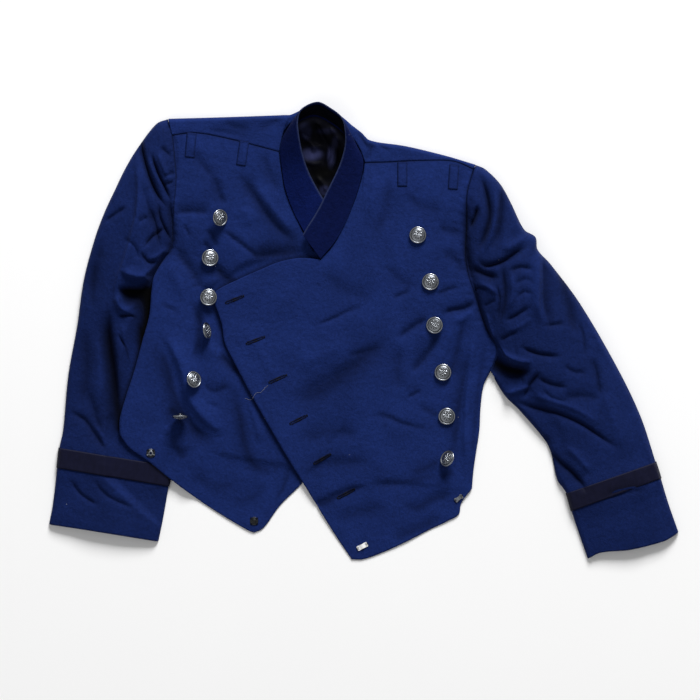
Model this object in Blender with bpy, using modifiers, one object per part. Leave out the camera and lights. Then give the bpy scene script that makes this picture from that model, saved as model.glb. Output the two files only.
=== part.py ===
"""Short double-breasted military dress tunic, laid flat on a surface with its fronts up.

Tables and sizes are in millimetres and MM turns them into metres. +X points to the wearer's
left sleeve, +Y to the collar and +Z up from the surface. The origin is the middle of the
tunic's outline, on the surface. Every cloth piece is a grid that is mapped between its four
edges, puffed and folded, and given a wall of cloth by Solidify.
"""
import math
from collections import namedtuple

import bmesh
import bpy
import numpy as np
from mathutils import Matrix, Vector
from mathutils.bvhtree import BVHTree

MM = 0.001
WALL = 1.6                # worsted cloth with its interlining
LINING_WALL = 1.0         # satin lining, and the cuffs' braid
HALF = WALL / 2
SEAM_INSET = 0.4          # each piece stops this far short of a seam
EDGE_ROLL = 5.0           # how far in from a closed side the cloth starts to turn down
BACK_LEVEL = 0.8          # middle of a wall that lies on the surface
RIM_LEVEL = 0.55          # middle of a turned-down rim, where it meets the surface
UNDER_INSET = 3.6         # the back stays inside the front's turned-down sides
UNDER_SLEEVE_INSET = 9.0  # and the under sleeves inside the top sleeves'
ARMHOLE_CLEARANCE = 14    # they stop this far below the back's armholes
BRAID_LIFT = 1.7          # how far the braid underneath holds a cuff off the surface
BUTTON_RADIUS = 11.5
BUTTON_CLEARANCE = 0.7
LOOP_WIDTH = 13.0
LOOP_LENGTH = 33.0

# Shares of an armhole or a side where a row of the grid lies. Both pieces that meet at an
# armhole use them, so their edges run side by side.
ARMHOLE_STATIONS = (0, 0.03, 0.1, 0.22, 0.34, 0.46, 0.58, 0.7, 0.82, 0.92, 0.975, 1)
SHOULDER_STATIONS = (0, 0.2, 0.4, 0.6, 0.8, 0.94, 0.985, 1)
LEFT_SIDE_CELLS = 6
RIGHT_SIDE_CELLS = 8
NECK_CELLS = 5
PLASTRON_CELLS = 5
LEFT_UNDERARM = 0.4       # share of the left front's height where its side meets the armhole
RIGHT_UNDERARM = 0.6
PLASTRON_END = 0.34       # shares of a front's width where its neck starts and ends
NECK_END = 0.665

# One row of an edge: its share of the edge's run, its place, and whether the edge turns a
# corner there.
Edge = namedtuple("Edge", "share x y z corner", defaults=(0,))

# A fold runs from its start to its end, bows sideways by bow at its middle, is width wide to
# each side, and rises by rise, which is negative for a trough.
Fold = namedtuple("Fold", "x0 y0 x1 y1 bow width rise")

# ---- the seams that two pieces share ----

LEFT_ARMHOLE = (
    Edge(0.00, 170, -53, 6),
    Edge(0.11, 179, -23, 8),
    Edge(0.24, 163, 9, 12),
    Edge(0.37, 151, 44, 14),
    Edge(0.50, 140, 77, 15),
    Edge(0.61, 136, 104, 16),
    Edge(0.74, 138, 144, 17),
    Edge(0.88, 138, 184, 17),
    Edge(1.00, 147, 218, 14),
)
RIGHT_ARMHOLE = (
    Edge(0.00, -260, 113, 9),
    Edge(0.17, -259, 137, 12),
    Edge(0.38, -257, 171, 14),
    Edge(0.60, -254, 205, 15),
    Edge(0.80, -256, 234, 15),
    Edge(1.00, -259, 264, 14),
)
LEFT_SIDE = (
    Edge(0.00, 145, -211, 4),
    Edge(0.16, 147, -187, 5),
    Edge(0.35, 151, -160, 5),
    Edge(0.53, 155, -133, 6),
    Edge(0.75, 157, -99, 6),
    Edge(0.89, 161, -72, 6),
    Edge(1.00, 170, -53, 6),
)
RIGHT_SIDE = (
    Edge(0.00, -330, -138, 10.5),
    Edge(0.06, -330, -119, 11),
    Edge(0.24, -321, -86, 11),
    Edge(0.42, -310, -52, 11),
    Edge(0.58, -299, -11, 11),
    Edge(0.72, -290, 22, 11),
    Edge(0.84, -287, 56, 10.5),
    Edge(0.90, -283, 76, 10),
    Edge(1.00, -260, 113, 9),
)
LEFT_SHOULDER = (
    Edge(0.0, 1, 227, 14),
    Edge(0.3, 34, 228, 12.5),
    Edge(0.6, 76, 230, 12),
    Edge(0.85, 120, 229, 13),
    Edge(1.0, 147, 218, 14),
)
RIGHT_SHOULDER = (
    Edge(0.0, -259, 264, 14),
    Edge(0.3, -226, 267, 13),
    Edge(0.6, -182, 259, 12),
    Edge(1.0, -116, 242, 13),
)
LEFT_NECK = (
    Edge(0.00, -59, 97, 12.5),
    Edge(0.30, -39, 121, 12.5),
    Edge(0.58, -15, 171, 13),
    Edge(0.85, -2, 211, 13.5),
    Edge(1.00, 1, 227, 14),
)
RIGHT_NECK = (
    Edge(0.00, -116, 242, 13),
    Edge(0.20, -113, 219, 12),
    Edge(0.48, -106, 186, 9.5),
    Edge(0.78, -86, 140, 7.5),
    Edge(1.00, -70, 110, 6.5),
)
BACK_NECK = (
    Edge(0.00, -116, 242, 13),
    Edge(0.16, -112, 266, 12),
    Edge(0.34, -93, 286, 10),
    Edge(0.50, -66, 295, 8),
    Edge(0.67, -41, 285, 10),
    Edge(0.79, -22, 267, 12),
    Edge(0.90, -7, 247, 14),
    Edge(1.00, 1, 227, 14),
)

# ---- edges of the fronts ----

LEFT_HEM = (
    Edge(0.00, -17, -307, 0.8),
    Edge(0.10, -2, -307, 0.8),
    Edge(0.27, 24, -298, 0.9),
    Edge(0.47, 55, -284, 1.6),
    Edge(0.69, 88, -267, 1.0),
    Edge(0.84, 113, -255, 1.4),
    Edge(0.91, 127, -246, 1.6),
    Edge(0.95, 130, -231, 2.2),
    Edge(1.00, 145, -211, 4.0),
)
LEFT_FRONT_EDGE = (
    Edge(0.00, -17, -307, 0.8),
    Edge(0.09, -38, -276, 1.4),
    Edge(0.18, -60, -241, 2.8),
    Edge(0.28, -83, -203, 5.5),
    Edge(0.36, -101, -174, 8.0),
    Edge(0.45, -121, -140, 9.0),
    Edge(0.57, -148, -93, 9.5),
    Edge(0.70, -175, -42, 9.5),
    Edge(0.78, -188, -15, 9.5),
    Edge(0.86, -192, 10, 10.5),
    Edge(1.00, -205, 47, 12),
)
LEFT_PLASTRON_TOP = (
    Edge(0.00, -205, 47, 12),
    Edge(0.06, -198, 56, 12),
    Edge(0.28, -168, 71, 10.5),
    Edge(0.48, -141, 83, 11),
    Edge(0.68, -114, 94, 11.5),
    Edge(0.86, -86, 99, 12),
    Edge(1.00, -59, 97, 12.5),
)
RIGHT_HEM = (
    Edge(0.00, -330, -138, 10.5),
    Edge(0.08, -317, -156, 10),
    Edge(0.22, -292, -174, 9.4),
    Edge(0.40, -260, -200, 8.4),
    Edge(0.60, -222, -228, 1.2),
    Edge(0.78, -188, -250, 0.8),
    Edge(0.95, -157, -268, 0.8),
    Edge(1.00, -149, -271, 0.8),
)
RIGHT_FRONT_EDGE = (
    Edge(0.00, -149, -271, 0.8),
    Edge(0.07, -136, -264, 0.8),
    Edge(0.18, -114, -234, 0.8),
    Edge(0.29, -83, -203, 1.2),
    Edge(0.42, -52, -165, 4.0),
    Edge(0.60, -5, -95, 4.4),
    Edge(0.80, 45, -20, 4.6),
    Edge(1.00, 84, 38, 5.0),
)
RIGHT_PLASTRON_TOP = (
    Edge(0.0, -70, 110, 6.5),
    Edge(0.3, -20, 92, 6.0),
    Edge(0.6, 30, 68, 5.5),
    Edge(1.0, 84, 38, 5.0),
)

# ---- edges of the back, whose upper stretch rolls forward over the shoulders ----

BACK_HEM = (
    Edge(0.0, -330, -138, 0.8),
    Edge(0.5, -92, -175, 0.8),
    Edge(1.0, 145, -211, 0.8),
)
BACK_FOLD = (
    Edge(0.00, -265, 286, 0.8),
    Edge(0.16, -195, 288, 0.8),
    Edge(0.33, -110, 291, 0.8),
    Edge(0.42, -98, 292, 0.8),
    Edge(0.46, -84, 298, 0.8),
    Edge(0.50, -63, 301, 0.8),
    Edge(0.54, -37, 293, 0.8),
    Edge(0.58, -18, 278, 0.8),
    Edge(0.63, -4, 267, 0.8),
    Edge(0.67, 7, 257, 0.8),
    Edge(0.80, 56, 249, 0.8),
    Edge(0.92, 110, 236, 0.8),
    Edge(1.00, 150, 224, 0.8),
)

# ---- edges of the sleeves ----

LEFT_CUFF_HEM = (
    Edge(0.00, 302, -306, 4),
    Edge(0.15, 318, -298, 6),
    Edge(0.45, 358, -295, 7),
    Edge(0.82, 402, -286, 6),
    Edge(0.92, 415, -279, 5),
    Edge(1.00, 423, -271, 4),
)
LEFT_INNER = (
    Edge(0.00, 302, -306, 5),
    Edge(0.15, 280, -242, 6),
    Edge(0.20, 273, -218, 7),
    Edge(0.29, 261, -200, 7),
    Edge(0.45, 252, -162, 7),
    Edge(0.52, 244, -146, 7),
    Edge(0.73, 210, -106, 7),
    Edge(0.84, 190, -86, 6.5),
    Edge(1.00, 170, -53, 6),
)
LEFT_OUTER = (
    Edge(0.00, 423, -271, 5),
    Edge(0.07, 410, -234, 6),
    Edge(0.15, 399, -198, 6.5),
    Edge(0.20, 392, -176, 7),
    Edge(0.31, 372, -115, 8),
    Edge(0.42, 342, -52, 9),
    Edge(0.59, 291, 36, 10),
    Edge(0.71, 250, 91, 12),
    Edge(0.75, 233, 110, 14),
    Edge(0.78, 230, 127, 15),
    Edge(0.81, 215, 137, 15),
    Edge(0.88, 196, 175, 15),
    Edge(0.92, 183, 197, 15),
    Edge(0.97, 165, 217, 14.5),
    Edge(1.00, 147, 220, 14),
)
RIGHT_CUFF_HEM = (
    Edge(0.00, -425, -260, 4),
    Edge(0.28, -384, -267, 7),
    Edge(0.65, -330, -276, 7),
    Edge(1.00, -279, -283, 4),
)
RIGHT_OUTER = (
    Edge(0.00, -425, -260, 5),
    Edge(0.05, -420, -234, 6),
    Edge(0.15, -414, -184, 6.5),
    Edge(0.20, -411, -157, 7),
    Edge(0.24, -406, -133, 7.5),
    Edge(0.37, -399, -59, 8),
    Edge(0.48, -387, 8, 9),
    Edge(0.58, -378, 70, 10),
    Edge(0.68, -361, 126, 11),
    Edge(0.80, -332, 190, 12),
    Edge(0.90, -302, 248, 12),
    Edge(0.96, -286, 279, 11),
    Edge(1.00, -265, 286, 8),
)
RIGHT_INNER = (
    Edge(0.00, -279, -283, 5),
    Edge(0.06, -273, -254, 5),
    Edge(0.15, -265, -209, 3.4),
    Edge(0.20, -260, -182, 3.4),
    Edge(0.28, -262, -150, 3.4),
    Edge(0.46, -266, -80, 3.4),
    Edge(0.63, -276, -18, 3.4),
    Edge(0.74, -290, 24, 4),
    Edge(0.83, -293, 56, 6),
    Edge(0.88, -288, 76, 8),
    Edge(1.00, -260, 113, 9),
)
# The back's share of the right armhole, from the fold over the shoulder to the shoulder seam.
RIGHT_BACK_ARMHOLE = (Edge(0, -265, 286, 8), Edge(0.5, -262, 276, 12), Edge(1, -259, 264, 14))
LEFT_BACK_ARMHOLE = (Edge(0, 147, 218, 14), Edge(1, 150, 224, 8))

# ---- how far each sleeve puffs up along its length, cuff to armhole ----

Crown = namedtuple("Crown", "share height")
LEFT_CROWN = (Crown(0, 2.5), Crown(0.2, 4), Crown(0.5, 6), Crown(0.8, 9), Crown(1, 0))
RIGHT_CROWN = (Crown(0, 2.5), Crown(0.2, 4), Crown(0.5, 5), Crown(0.8, 8), Crown(1, 0))

# ---- the largest folds ----

LEFT_FRONT_FOLDS = (
    Fold(98, 9, 62, -55, -6, 12, -2.6),
    Fold(128, 14, 116, -88, 5, 10, -2.2),
    Fold(148, 49, 55, 0, 6, 12, 1.8),
    Fold(-85, -225, 102, -198, 10, 16, 1.8),
    Fold(-20, 150, 60, 60, 0, 40, 2.5),
)
RIGHT_FRONT_FOLDS = (
    Fold(-192, 141, -143, 99, 5, 10, -2.4),
    Fold(-262, 10, -232, -130, -14, 14, -3.6),
    Fold(-238, 0, -205, -110, -10, 12, 2.6),
    Fold(-210, 85, -178, 66, 0, 8, -2.5),
    Fold(-103, -180, -118, -226, 4, 10, 1.6),
    Fold(-170, 205, -100, 130, 8, 26, 2.0),
)
LEFT_SLEEVE_FOLDS = (
    Fold(156, 205, 156, 110, -12, 9, -7),
    Fold(178, 185, 176, 155, 0, 8, -5),
    Fold(153, 95, 214, 114, 8, 8, -6),
    Fold(176, -30, 224, -60, 0, 12, -7),
    Fold(233, 112, 235, 30, 0, 8, 3),
    Fold(225, -95, 345, -157, 8, 9, 2.5),
    Fold(252, -162, 290, -200, 0, 8, -3),
)
RIGHT_SLEEVE_FOLDS = (
    Fold(-298, 252, -268, 172, 6, 8, -7),
    Fold(-286, 234, -264, 180, 4, 7, -6),
    Fold(-306, 210, -338, 30, 6, 9, 5),
    Fold(-348, 150, -300, 132, 0, 8, -4),
    Fold(-306, 58, -284, 50, 0, 14, -8),
    Fold(-346, 0, -333, -140, 8, 11, -5),
    Fold(-330, 40, -300, 28, 0, 9, -4),
)

# ---- sections of the collar, from its lower front end round the back to its upper one ----

Band = namedtuple("Band", "share seam_x seam_y seam_z edge_x edge_y edge_z")
COLLAR = (
    Band(0.00, -67, 114, 8.5, -36, 142, 10.8),
    Band(0.06, -79, 134, 9, -46, 163, 13),
    Band(0.13, -93, 161, 10, -61, 187, 19),
    Band(0.21, -104, 191, 12, -75, 213, 27),
    Band(0.28, -109, 218, 13, -83, 236, 33),
    Band(0.34, -112, 245, 14, -88, 261, 38),
    Band(0.39, -107, 267, 13, -90, 283, 40),
    Band(0.45, -90, 282, 11, -84, 299, 41),
    Band(0.52, -66, 290, 9, -63, 308, 41),
    Band(0.58, -44, 280, 11, -45, 299, 41),
    Band(0.64, -26, 263, 13, -31, 287, 40),
    Band(0.70, -11, 244, 15, -26, 271, 36),
    Band(0.76, -4, 226, 16, -26, 249, 31),
    Band(0.82, -8, 201, 15.5, -34, 222, 26),
    Band(0.88, -17, 173, 15, -49, 191, 22),
    Band(0.93, -29, 146, 15, -63, 163, 19),
    Band(0.97, -44, 122, 14.8, -76, 142, 17.5),
    Band(1.00, -60, 101, 14.5, -83, 130, 16.5),
)

# ---- what is sewn on ----

Button = namedtuple("Button", "x y tilt towards")   # degrees of tilt, and the way it leans
LEFT_BUTTONS = (
    Button(72, 130, 0, 0),
    Button(89, 67, 0, 0),
    Button(96, 9, 12, 200),
    Button(106, -55, 0, 0),
    Button(111, -113, 6, 270),
    Button(113, -172, 38, 150),
)
RIGHT_BUTTONS = (
    Button(-196, 153, 22, 0),
    Button(-209, 99, 10, 20),
    Button(-211, 46, 6, 0),
    Button(-213, 1, 48, 10),
    Button(-231, -65, 30, 20),
    Button(-248, -114, 62, 270),
)
Loop = namedtuple("Loop", "name x y turn")          # middle of the loop, and its turn in degrees
LOOPS = (
    Loop("epaulet_loop_right_outer", -234, 251, -5),
    Loop("epaulet_loop_right_inner", -164, 240, -8),
    Loop("epaulet_loop_left_inner", 51, 212, 0),
    Loop("epaulet_loop_left_outer", 120, 208, -4),
)
SNAPS = (("snap_socket", -288, -164, 6.0), ("snap_stud", -149, -256, 5.6))
HOOK_BARS = (("hook_bar_tip", -3, -290, 30, 15.0), ("hook_bar_side", 127, -225, 20, 12.0))


# ---- curves and patches ----

def edge_curve(rows, shares):
    """Points at shares of an edge: a smooth curve through its rows, broken at corners."""
    knots = np.array([row.share for row in rows])
    points = np.array([(row.x, row.y, row.z) for row in rows])
    slopes = np.diff(points, axis=0) / np.diff(knots)[:, None]
    leaving = slopes.copy()
    arriving = slopes.copy()
    for i in range(1, len(rows) - 1):
        if not rows[i].corner:
            middle = (points[i + 1] - points[i - 1]) / (knots[i + 1] - knots[i - 1])
            leaving[i] = middle
            arriving[i - 1] = middle
    shares = np.asarray(shares, float)
    stretch = np.clip(np.searchsorted(knots, shares, side="right") - 1, 0, len(slopes) - 1)
    run = np.diff(knots)[stretch]
    u = ((shares - knots[stretch]) / run)[:, None]
    start, end = points[stretch], points[stretch + 1]
    go, come = leaving[stretch] * run[:, None], arriving[stretch] * run[:, None]
    return ((2 * u**3 - 3 * u**2 + 1) * start + (u**3 - 2 * u**2 + u) * go
            + (3 * u**2 - 2 * u**3) * end + (u**3 - u**2) * come)


def joined(*edges):
    """One edge from several in a row, as (edge, share where it ends) pairs, with corners."""
    rows = []
    begin = 0.0
    for edge, end in edges:
        for i, row in enumerate(edge):
            if rows and i == 0:
                rows[-1] = rows[-1]._replace(corner=1)
                continue
            rows.append(row._replace(share=begin + (end - begin) * row.share))
        begin = end
    return tuple(rows)


def patch(hem, top, left, right, s, t):
    """Points of a sheet that spans its four edges, at shares s across and t up."""
    across, up = s[:, None], t[:, None]
    corners = [edge_curve(hem, [0.0]), edge_curve(hem, [1.0]),
               edge_curve(top, [0.0]), edge_curve(top, [1.0])]
    between_hem_and_top = (1 - up) * edge_curve(hem, s) + up * edge_curve(top, s)
    between_sides = (1 - across) * edge_curve(left, t) + across * edge_curve(right, t)
    bilinear = ((1 - across) * (1 - up) * corners[0] + across * (1 - up) * corners[1]
                + (1 - across) * up * corners[2] + across * up * corners[3])
    return between_hem_and_top + between_sides - bilinear


def smooth(value):
    """0 to 1 with soft ends."""
    value = np.clip(value, 0, 1)
    return value * value * (3 - 2 * value)


def fold_height(folds, x, y):
    """Rise of all the folds together at x, y."""
    rise = np.zeros_like(x)
    for fold in folds:
        run = math.hypot(fold.x1 - fold.x0, fold.y1 - fold.y0)
        ux, uy = (fold.x1 - fold.x0) / run, (fold.y1 - fold.y0) / run
        along = ((x - fold.x0) * ux + (y - fold.y0) * uy) / run
        across = (y - fold.y0) * ux - (x - fold.x0) * uy
        across = across - fold.bow * 4 * along * (1 - along)
        ends = smooth((0.5 - np.abs(along - 0.5)) / 0.22)
        rise += fold.rise * np.exp(-(across / fold.width) ** 2) * ends
    return rise


def turn_down(points, distance, low):
    """Turn the cloth down to low, as a quarter round, where distance is under EDGE_ROLL."""
    inward = np.clip(distance / EDGE_ROLL, 0, 1)
    share = np.sqrt(np.clip(1 - (1 - inward) ** 2, 0, 1))
    points[:, 2] = low + (points[:, 2] - low) * share
    return points


def reversed_edge(rows):
    """The same edge, run the other way."""
    return tuple(row._replace(share=1 - row.share) for row in reversed(rows))


def at_level(rows, level=BACK_LEVEL):
    """The same edge in plan, all at one height."""
    return tuple(row._replace(z=level) for row in rows)


def plan_width(left, right, t):
    """Distance in plan between two edges at shares t."""
    gap = edge_curve(right, t)[:, :2] - edge_curve(left, t)[:, :2]
    return np.hypot(gap[:, 0], gap[:, 1])


# ---- the model's pieces ----

tunic = None              # the collection that holds them, set when the model is started


def material(name, colour, roughness, metallic=0.0):
    made = bpy.data.materials.get(name) or bpy.data.materials.new(name)
    made.use_nodes = True
    shader = made.node_tree.nodes["Principled BSDF"]
    shader.inputs["Base Color"].default_value = (*colour, 1)
    shader.inputs["Roughness"].default_value = roughness
    shader.inputs["Metallic"].default_value = metallic
    made.diffuse_color = (*colour, 1)
    return made


def add_piece(name, mesh_data, made_of):
    """Put a bmesh in the collection as a named object, with its lengths made metres."""
    bmesh.ops.scale(mesh_data, vec=(MM, MM, MM), verts=mesh_data.verts)
    mesh = bpy.data.meshes.new(name)
    mesh_data.to_mesh(mesh)
    mesh_data.free()
    mesh.materials.append(made_of)
    mesh.shade_smooth()
    mesh.set_sharp_from_angle(angle=math.radians(50))
    piece = bpy.data.objects.new(name, mesh)
    tunic.objects.link(piece)
    return piece


def cloth_sheet(name, place, s_stations, t_stations, made_of, wall=WALL, closed=False):
    """A wall of cloth on the surface that place(s, t) gives, with a row at each station."""
    sheet = bmesh.new()
    bmesh.ops.create_grid(sheet, x_segments=len(s_stations) - 1,
                          y_segments=len(t_stations) - 1, size=0.5)
    grid = np.array([vertex.co for vertex in sheet.verts])
    column = (grid[:, 0] + 0.5) * (len(s_stations) - 1)
    row = (grid[:, 1] + 0.5) * (len(t_stations) - 1)
    s = np.interp(column, range(len(s_stations)), s_stations)
    t = np.interp(row, range(len(t_stations)), t_stations)
    for vertex, point in zip(sheet.verts, place(s, t)):
        vertex.co = point
    if closed:
        bmesh.ops.remove_doubles(sheet, verts=sheet.verts, dist=0.01)
        bmesh.ops.recalc_face_normals(sheet, faces=sheet.faces)
    piece = add_piece(name, sheet, made_of)
    walled = piece.modifiers.new("wall", "SOLIDIFY")
    walled.thickness = wall * MM
    walled.offset = 0
    return piece


def spread(begin, end, shares):
    return [begin + (end - begin) * share for share in shares]


def even(cells):
    return [i / cells for i in range(cells + 1)]


# ---- back ----

SLEEVE_TUCK_TOP = 58      # the right sleeve slides under the body below this line
SLEEVE_TUCK_RUN = 34      # over this much of the side the back climbs on to it
SLEEVE_TUCK_X = -289      # the tucked edge of the sleeve, at the top of the tuck
SLEEVE_TUCK_SLOPE = 0.155
SLEEVE_TUCK_END_X = -262
SLEEVE_TUCK_RISE = 6.4
BACK_ROLL = 5.0           # radius of the roll over the shoulders, seen from above
FLAT_ROWS = 8
ROLL_ROWS = 4
TOP_ROWS = 2


def climb_over_sleeve(x, y):
    """How far the back and the front above it climb where the right sleeve lies beneath."""
    tucked_x = np.minimum(SLEEVE_TUCK_X + (24 - y) * SLEEVE_TUCK_SLOPE, SLEEVE_TUCK_END_X)
    down = smooth((SLEEVE_TUCK_TOP - y) / SLEEVE_TUCK_RUN)
    inward = smooth((tucked_x + 40 - x) / 24)
    return SLEEVE_TUCK_RISE * down * inward


def above_back(x, y):
    """The lowest that the middle of a front's wall may lie over the back."""
    hem_y = np.interp(x, [row.x for row in BACK_HEM], [row.y for row in BACK_HEM])
    over = smooth((y - hem_y + 14) / 12)
    return BACK_LEVEL + over * (WALL + 1.1) + climb_over_sleeve(x, y)


LEFT_BODY_SIDE = joined((LEFT_SIDE, LEFT_UNDERARM), (LEFT_ARMHOLE, 1.0))
RIGHT_BODY_SIDE = joined((RIGHT_SIDE, RIGHT_UNDERARM), (RIGHT_ARMHOLE, 1.0))
BACK_LEFT_SIDE = joined((LEFT_SIDE, LEFT_UNDERARM), (LEFT_ARMHOLE, 0.98),
                        (LEFT_BACK_ARMHOLE, 1.0))
BACK_RIGHT_SIDE = joined((RIGHT_SIDE, 0.55), (RIGHT_ARMHOLE, 0.93),
                         (reversed_edge(RIGHT_BACK_ARMHOLE), 1.0))
BACK_TOP_EDGE = joined((RIGHT_SHOULDER, 1 - NECK_END), (BACK_NECK, NECK_END),
                       (LEFT_SHOULDER, 1.0))


def back_surface(s, t):
    """t runs 0 to 1 up the flat of the back, 1 to 2 round the roll, and 2 to 3 over the top."""
    fold = edge_curve(BACK_FOLD, s)
    end = edge_curve(BACK_TOP_EDGE, s)
    forward = end[:, :2] - fold[:, :2]
    reach = np.hypot(forward[:, 0], forward[:, 1])
    forward = forward / reach[:, None]
    radius = np.minimum(BACK_ROLL, 0.45 * reach)
    height = (end[:, 2] - BACK_LEVEL) / 2
    flat = patch(at_level(BACK_HEM), at_level(BACK_FOLD), at_level(BACK_RIGHT_SIDE),
                 at_level(BACK_LEFT_SIDE), s, np.clip(t, 0, 1))
    flat[:, :2] += forward * (radius * np.clip(t, 0, 1) ** 6)[:, None]
    flat[:, 2] += climb_over_sleeve(flat[:, 0], flat[:, 1])
    angle = np.pi * (np.clip(t - 1, 0, 1) - 0.5)
    points = flat
    rolled = t > 1
    turn = (radius * (1 - np.cos(angle)))[:, None]
    points[rolled, :2] = (fold[:, :2] + forward * turn)[rolled]
    points[rolled, 2] = (BACK_LEVEL + height * (1 + np.sin(angle)))[rolled]
    over = t > 2
    run = np.clip(t - 2, 0, 1)
    stretch = (radius + (reach - SEAM_INSET - radius) * run)[:, None]
    points[over, :2] = (fold[:, :2] + forward * stretch)[over]
    return points


def build_back():
    inset = UNDER_INSET / 400
    across = (spread(inset, 1 - NECK_END, [1 - q for q in reversed(SHOULDER_STATIONS)])
              + spread(1 - NECK_END, NECK_END, even(NECK_CELLS))[1:]
              + spread(NECK_END, 1 - inset, SHOULDER_STATIONS)[1:])
    up = (even(FLAT_ROWS) + spread(1, 2, even(ROLL_ROWS))[1:] + spread(2, 3, even(TOP_ROWS))[1:])
    cloth_sheet("back", back_surface, across, up, CLOTH)


# ---- fronts ----

PRESSED_LEVEL = 5.6       # the right front lies this low beneath the left one
SLEEVE_PRESSED = 3.4      # and the right sleeve this low beneath the body


def pressed_by_left_front(x, y):
    """The highest that the right front may lie, where the left one is on top of it."""
    edge_x = np.interp(y, [row.y for row in LEFT_FRONT_EDGE], [row.x for row in LEFT_FRONT_EDGE])
    edge_y = np.interp(x, [row.x for row in LEFT_PLASTRON_TOP],
                       [row.y for row in LEFT_PLASTRON_TOP])
    inside = np.minimum(x - edge_x, edge_y - y)
    return PRESSED_LEVEL + 20 * smooth((-8 - inside) / 34)


def pressed_by_body(x, y):
    """The highest that the right sleeve may lie, where the body is on top of it."""
    side_x = np.interp(y, [row.y for row in RIGHT_SIDE], [row.x for row in RIGHT_SIDE])
    outside = side_x - x + np.clip(y - SLEEVE_TUCK_TOP, 0, None) * 2
    below_hem = np.clip(RIGHT_HEM[0].y - 60 - y, 0, None)
    return SLEEVE_PRESSED + 30 * smooth((outside - 2 + below_hem) / 50)


def left_front_surface(s, t):
    top = joined((LEFT_PLASTRON_TOP, PLASTRON_END), (LEFT_NECK, NECK_END),
                 (LEFT_SHOULDER, 1.0))
    points = patch(LEFT_HEM, top, LEFT_FRONT_EDGE, LEFT_BODY_SIDE, s, t)
    inside = smooth(np.minimum(np.minimum(s, 1 - s), np.minimum(t, 1 - t)) / 0.1)
    points[:, 2] += inside * fold_height(LEFT_FRONT_FOLDS, points[:, 0], points[:, 1])
    points[:, 2] = np.maximum(points[:, 2], above_back(points[:, 0], points[:, 1]))
    width = plan_width(LEFT_FRONT_EDGE, LEFT_BODY_SIDE, t)
    distance = (1 - s) * width + 300 * np.clip(t - LEFT_UNDERARM, 0, 1)
    return turn_down(points, distance, RIM_LEVEL)


def build_left_front():
    across = (spread(0, PLASTRON_END, even(PLASTRON_CELLS))
              + spread(PLASTRON_END, NECK_END, even(NECK_CELLS))[1:]
              + spread(NECK_END, 1, SHOULDER_STATIONS)[1:])
    up = (spread(0, LEFT_UNDERARM, even(LEFT_SIDE_CELLS))
          + spread(LEFT_UNDERARM, 1, ARMHOLE_STATIONS)[1:])
    across[-1] -= SEAM_INSET / 300
    up[-1] -= SEAM_INSET / 400
    cloth_sheet("left_front", left_front_surface, across, up, CLOTH)


def right_front_surface(s, t):
    top = joined((RIGHT_SHOULDER, 1 - NECK_END), (RIGHT_NECK, 1 - PLASTRON_END),
                 (RIGHT_PLASTRON_TOP, 1.0))
    points = patch(RIGHT_HEM, top, RIGHT_BODY_SIDE, RIGHT_FRONT_EDGE, s, t)
    inside = smooth(np.minimum(np.minimum(s, 1 - s), np.minimum(t, 1 - t)) / 0.1)
    points[:, 2] += inside * fold_height(RIGHT_FRONT_FOLDS, points[:, 0], points[:, 1])
    x, y = points[:, 0], points[:, 1]
    points[:, 2] = np.minimum(points[:, 2], pressed_by_left_front(x, y))
    points[:, 2] = np.maximum(points[:, 2], above_back(x, y))
    width = plan_width(RIGHT_BODY_SIDE, RIGHT_FRONT_EDGE, t)
    distance = s * width + 300 * np.clip(t - RIGHT_UNDERARM, 0, 1)
    return turn_down(points, distance, BACK_LEVEL + climb_over_sleeve(x, y))


def build_right_front():
    across = (spread(0, 1 - NECK_END, [1 - q for q in reversed(SHOULDER_STATIONS)])
              + spread(1 - NECK_END, 1 - PLASTRON_END, even(NECK_CELLS))[1:]
              + spread(1 - PLASTRON_END, 1, even(PLASTRON_CELLS))[1:])
    up = (spread(0, RIGHT_UNDERARM, even(RIGHT_SIDE_CELLS))
          + spread(RIGHT_UNDERARM, 1, ARMHOLE_STATIONS)[1:])
    across[0] += SEAM_INSET / 300
    up[-1] -= SEAM_INSET / 400
    cloth_sheet("right_front", right_front_surface, across, up, CLOTH)


# ---- sleeves and their braid ----

Sleeve = namedtuple("Sleeve", "side hem top left right crown folds seam_stations length "
                              "braid_low braid_high")
RIGHT_TOP = joined((RIGHT_BACK_ARMHOLE, 0.14), (reversed_edge(RIGHT_ARMHOLE), 1.0))
SLEEVES = (
    Sleeve("left", LEFT_CUFF_HEM, LEFT_ARMHOLE, LEFT_INNER, LEFT_OUTER, LEFT_CROWN,
           LEFT_SLEEVE_FOLDS, list(ARMHOLE_STATIONS), 480, 0.15, 0.2),
    Sleeve("right", RIGHT_CUFF_HEM, RIGHT_TOP, RIGHT_OUTER, RIGHT_INNER, RIGHT_CROWN,
           RIGHT_SLEEVE_FOLDS,
           [0, 0.012, 0.04] + spread(0.14, 1, [1 - q for q in reversed(ARMHOLE_STATIONS)]),
           480, 0.15, 0.2),
)
BRAID_RAMP = 0.05         # share of the sleeve over which it comes down off the braid
SLEEVE_ROWS = (0.26, 0.34, 0.42, 0.5, 0.58, 0.66, 0.74, 0.82, 0.9, 0.96, 1)


def braid_lift(sleeve, t):
    rise = smooth((t - sleeve.braid_low) / BRAID_RAMP + 1)
    fall = smooth((sleeve.braid_high - t) / BRAID_RAMP + 1)
    return BRAID_LIFT * np.minimum(rise, fall)


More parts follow.
